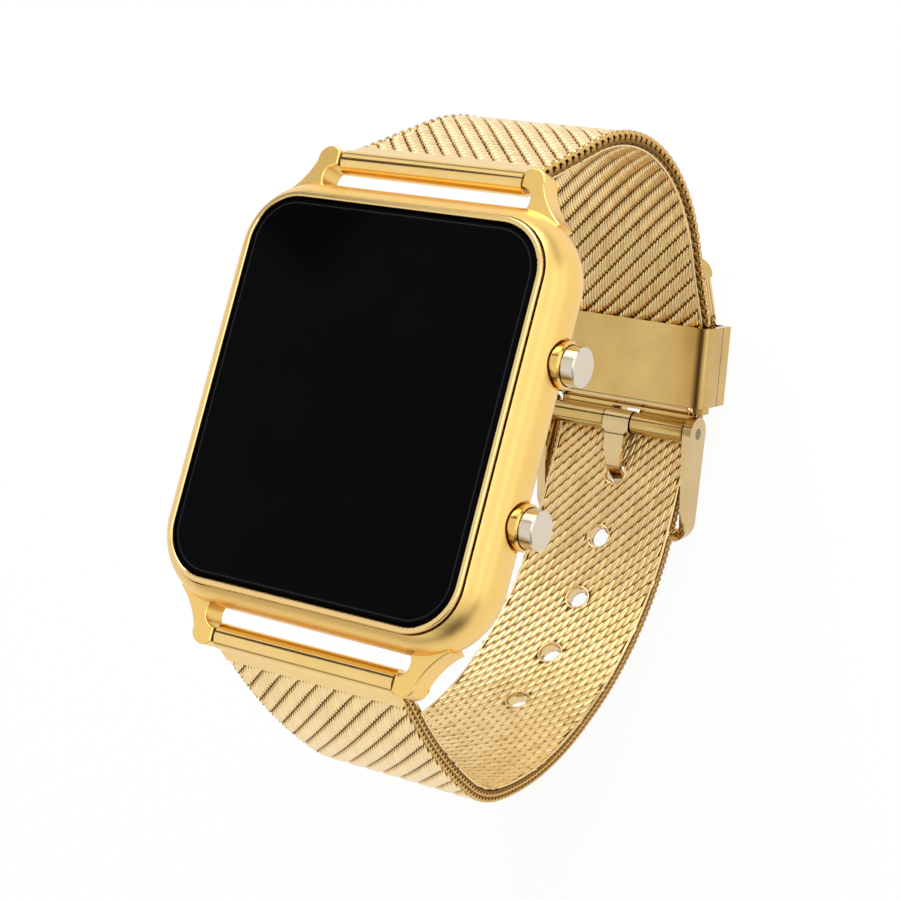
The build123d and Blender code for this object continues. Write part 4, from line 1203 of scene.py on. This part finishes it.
@dataclass
class Buckle:
    """Clasp box, keeper cover, pin, frame and tongue.

    The lip's points are in millimetres, up the strap and out from the clasp's lower inner corner.
    """

    sizes: StrapSizes = field(default_factory=StrapSizes)
    seam_depth: float = 3.1 * MM
    lip_half: float = 7.3 * MM
    lip_outer: tuple[Pair, ...] = ((0.12, 0.02), (-0.40, 0.05), (-0.78, 0.20), (-1.03, 0.46), (-1.13, 0.78))
    lip_inner: tuple[Pair, ...] = ((-0.91, 0.80), (-0.82, 0.56), (-0.62, 0.38), (-0.32, 0.27), (0.12, 0.26))
    knuckle_reach: float = 1.15 * MM
    roll_level: float = 7.5 * MM

    def _lip(self, routes: StrapRoutes, steps: int = 24) -> Shape:
        """Roll the lip along the plate's lower edge, as a closed band from side to side.

        Args:
            routes: Where the clasp is.
            steps: Number of rings from side to side.

        Returns:
            The lip's shape.
        """
        ring = np.array(self.lip_outer + self.lip_inner) * MM
        flat = routes.clasp + ring[:, :1] * routes.up_strap + ring[:, 1:] * routes.outward
        across = np.linspace(-self.lip_half, self.lip_half, steps)
        points = np.zeros((1, steps, len(ring), 3))
        points[..., 0] = across[None, :, None]
        points[..., 1:] = flat[None, None]
        shape = Shape()
        shape.add_rings(points)
        return shape

    def build(self) -> None:
        """Paint the buckle's nodes, with the dark seam between the clasp's two halves, and add the lip."""
        routes = StrapRoutes(self.sizes)
        self._lip(routes).piece("clasp_lip", Gold.BUCKLE, "strap_upper")
        seam_level = float(routes.outward @ routes.clasp) + self.seam_depth
        seamed = SeamAndShadeMetalFinish.over(Gold.CLASP, "seamed_clasp_gold", routes.outward, seam_level)
        # Painted shade: brown bands on the clasp where its plate rolls round at the sides.
        edge_shaded = replace(seamed, name="rolled_clasp_gold", shade_band_level=self.roll_level)
        # Painted shade: a dark line across the tongue where its knuckle bends into the blade.
        crease_shade_level = self.knuckle_reach - float(routes.up_strap @ routes.pin)
        crease_shaded = SeamAndShadeMetalFinish.over(
            Gold.BUCKLE, "knuckled_buckle_gold", -routes.up_strap, crease_shade_level
        )
        paint({
            "clasp_body": edge_shaded, "keeper_cover": seamed, "clasp_pin": Plain.PIN,
            "buckle_frame": Gold.BUCKLE, "buckle_tongue": crease_shaded,
        })


@dataclass
class Studio:
    """Camera, pale floor, white surroundings, soft lamps and the dark cards that the metal mirrors."""

    rest_level: float = -42.4854 * MM
    camera_place: Place = (101.283 * MM, -18.585 * MM, 150.932 * MM)
    camera_right: Place = (0.831833, 0.249100, -0.495988)
    camera_up: Place = (-0.164845, 0.964186, 0.207778)
    camera_back: Place = (0.529982, -0.091075, 0.843104)
    lens: float = 88.0
    sensor: float = 36.0
    nearest: float = 5 * MM
    shift: Pair = (-0.00402, 0.014346)
    ambient: float = 0.6
    floor_glow: float = 0.8
    floor_white: float = 0.94
    floor_reach: float = 4.0
    floor_sides: int = 64
    floor_tint: Colour = (0.9, 0.9, 0.9)
    flag_steps: int = 9
    flag_bow_share: float = 0.1
    aim: Place = (0.0, 0.0, -15.0 * MM)
    lamps: tuple[tuple[str, Place, float, float], ...] = (
        ("key", (-0.04, 0.38, 0.30), 0.30, 1.8),
        ("side", (0.45, 0.10, 0.02), 0.50, 0.5),
        ("over", (0.15, 0.05, 0.50), 0.30, 0.6),
    )
    flags: tuple[tuple[str, Place, float, float], ...] = (
        ("high_flag", (0.06, -0.21, 0.28), 0.17, 0.16),
        ("low_flag", (0.22, -0.33, 0.11), 0.24, 0.26),
        ("tube_flag", (-0.17, 0.115, 0.215), 0.11, 0.07),
    )
    walls: tuple[Pair, ...] = (
        (0.0, 1.0), (0.51, 1.0), (0.54, 0.35), (0.62, 0.35), (0.68, 1.0), (0.9, 1.0), (1.0, 0.8)
    )

    def build(self) -> None:
        """Set up everything that isn't the watch."""
        self._camera()
        self._floor()
        self._surroundings()
        for lamp in self.lamps:
            self._lamp(*lamp)
        for flag in self.flags:
            self._flag(*flag)
        bpy.context.scene.view_settings.view_transform = "Standard"

    def _camera(self) -> None:
        """The camera at the photograph's angle."""
        camera = bpy.data.cameras.new("camera")
        camera.lens = self.lens
        camera.sensor_width = self.sensor
        camera.shift_x, camera.shift_y = self.shift
        camera.clip_start = self.nearest
        made = add_object("camera", camera)
        axes = Matrix((self.camera_right, self.camera_up, self.camera_back)).transposed()
        made.matrix_world = Matrix.Translation(self.camera_place) @ axes.to_4x4()
        bpy.context.scene.camera = made

    @staticmethod
    def _rays(book: NodeBook) -> tuple[Shade, Shade]:
        """Tell rays straight from the camera from those by way of a mirror or glass.

        Args:
            book: The nodes of a material or of the world.

        Returns:
            Two values, each 1 for its rays and 0 for others.
        """
        kinds = ("Camera", "Glossy", "Transmission")
        camera, glossy, through = (
            book.node("ShaderNodeLightPath", None, None, f"Is {kind} Ray") for kind in kinds
        )
        return camera, glossy.most(through)

    def _floor(self) -> None:
        """A round pale floor that shows white and keeps a soft shadow."""
        mesh = bpy.data.meshes.new("floor")
        reach, turn = self.floor_reach, round_angles(self.floor_sides)
        points = [(reach * math.cos(angle), reach * math.sin(angle), self.rest_level) for angle in turn]
        mesh.from_pydata(points, [], [tuple(range(self.floor_sides))])
        material = bpy.data.materials.new("pale_floor")
        material.use_nodes = True
        book = NodeBook(material.node_tree)
        lit = book.node("ShaderNodeBsdfDiffuse", None, {"Color": (*self.floor_tint, 1.0)})
        white = book.node("ShaderNodeEmission", None, {"Color": (1.0, 1.0, 1.0, 1.0), "Strength": 1.0})
        camera, shiny = self._rays(book)
        glow = camera * self.floor_white + shiny * self.floor_glow
        mixed = book.node("ShaderNodeMixShader", None, {0: glow, 1: lit, 2: white})
        book.node("ShaderNodeOutputMaterial", None, {"Surface": mixed})
        mesh.materials.append(material)
        add_object("floor", mesh)

    def _flag(self, name: str, centre: Place, wide: float, high: float) -> None:
        """Add a dark bowed card that only shows where metal or glass mirrors it.

        Args:
            name: The card's name.
            centre: Its middle. It faces the watch.
            wide: Its width.
            high: Its height.
        """
        bow = self.flag_bow_share * wide
        shares = np.linspace(-0.5, 0.5, self.flag_steps)
        points = [(x * wide, y * high, -bow * math.cos(math.pi * x)) for y in (-0.5, 0.5) for x in shares]
        row = self.flag_steps
        mesh = bpy.data.meshes.new(name)
        mesh.from_pydata(points, [], [(n, n + 1, n + row + 1, n + row) for n in range(row - 1)])
        mesh.materials.append(Plain.FLAG.value.material())
        flag = add_object(name, mesh)
        flag.location = centre
        flag.rotation_euler = (-Vector(centre)).to_track_quat("Z", "Y").to_euler()
        flag.visible_camera = False
        flag.visible_shadow = False

    def _surroundings(self) -> None:
        """White where it is seen, plain light elsewhere, and dim walls for the metal to mirror."""
        world = bpy.data.worlds.new("surroundings")
        bpy.context.scene.world = world
        world.use_nodes = True
        book = NodeBook(world.node_tree)
        camera, shiny = self._rays(book)
        height = book.axis("Z", "Generated") * 0.5 + 0.5
        stops = [(place, (level,) * 3) for place, level in self.walls]
        seen = book.node("ShaderNodeValToRGB", {"stops": stops}, {0: height})
        strength = camera * (1 - self.ambient) + shiny * (seen - self.ambient) + self.ambient
        light = book.node("ShaderNodeBackground", None, {"Color": (1.0, 1.0, 1.0, 1.0), "Strength": strength})
        book.node("ShaderNodeOutputWorld", None, {"Surface": light})

    def _lamp(self, name: str, place: Place, size: float, power: float) -> None:
        """A square soft lamp that faces the watch.

        Args:
            name: The lamp's name.
            place: Its position.
            size: Its side.
            power: Its power in watts.
        """
        light = bpy.data.lights.new(name, "AREA")
        light.size = size
        light.energy = power
        lamp = add_object(name, light)
        lamp.location = place
        aim = Vector(self.aim) - Vector(place)
        lamp.rotation_euler = aim.to_track_quat("-Z", "Y").to_euler()


def main() -> None:
    """Build everything in order and log each assembly as it is done."""
    logging.basicConfig(level=logging.INFO, format="%(message)s")
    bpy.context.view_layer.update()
    for assembly in (Studio(), CaseShell(), Movement(), Buttons(), Strap(), Buckle()):
        assembly.build()
        LOG.info("%s done", type(assembly).__name__)
    bpy.context.view_layer.update()


if __name__ == "__main__":
    main()
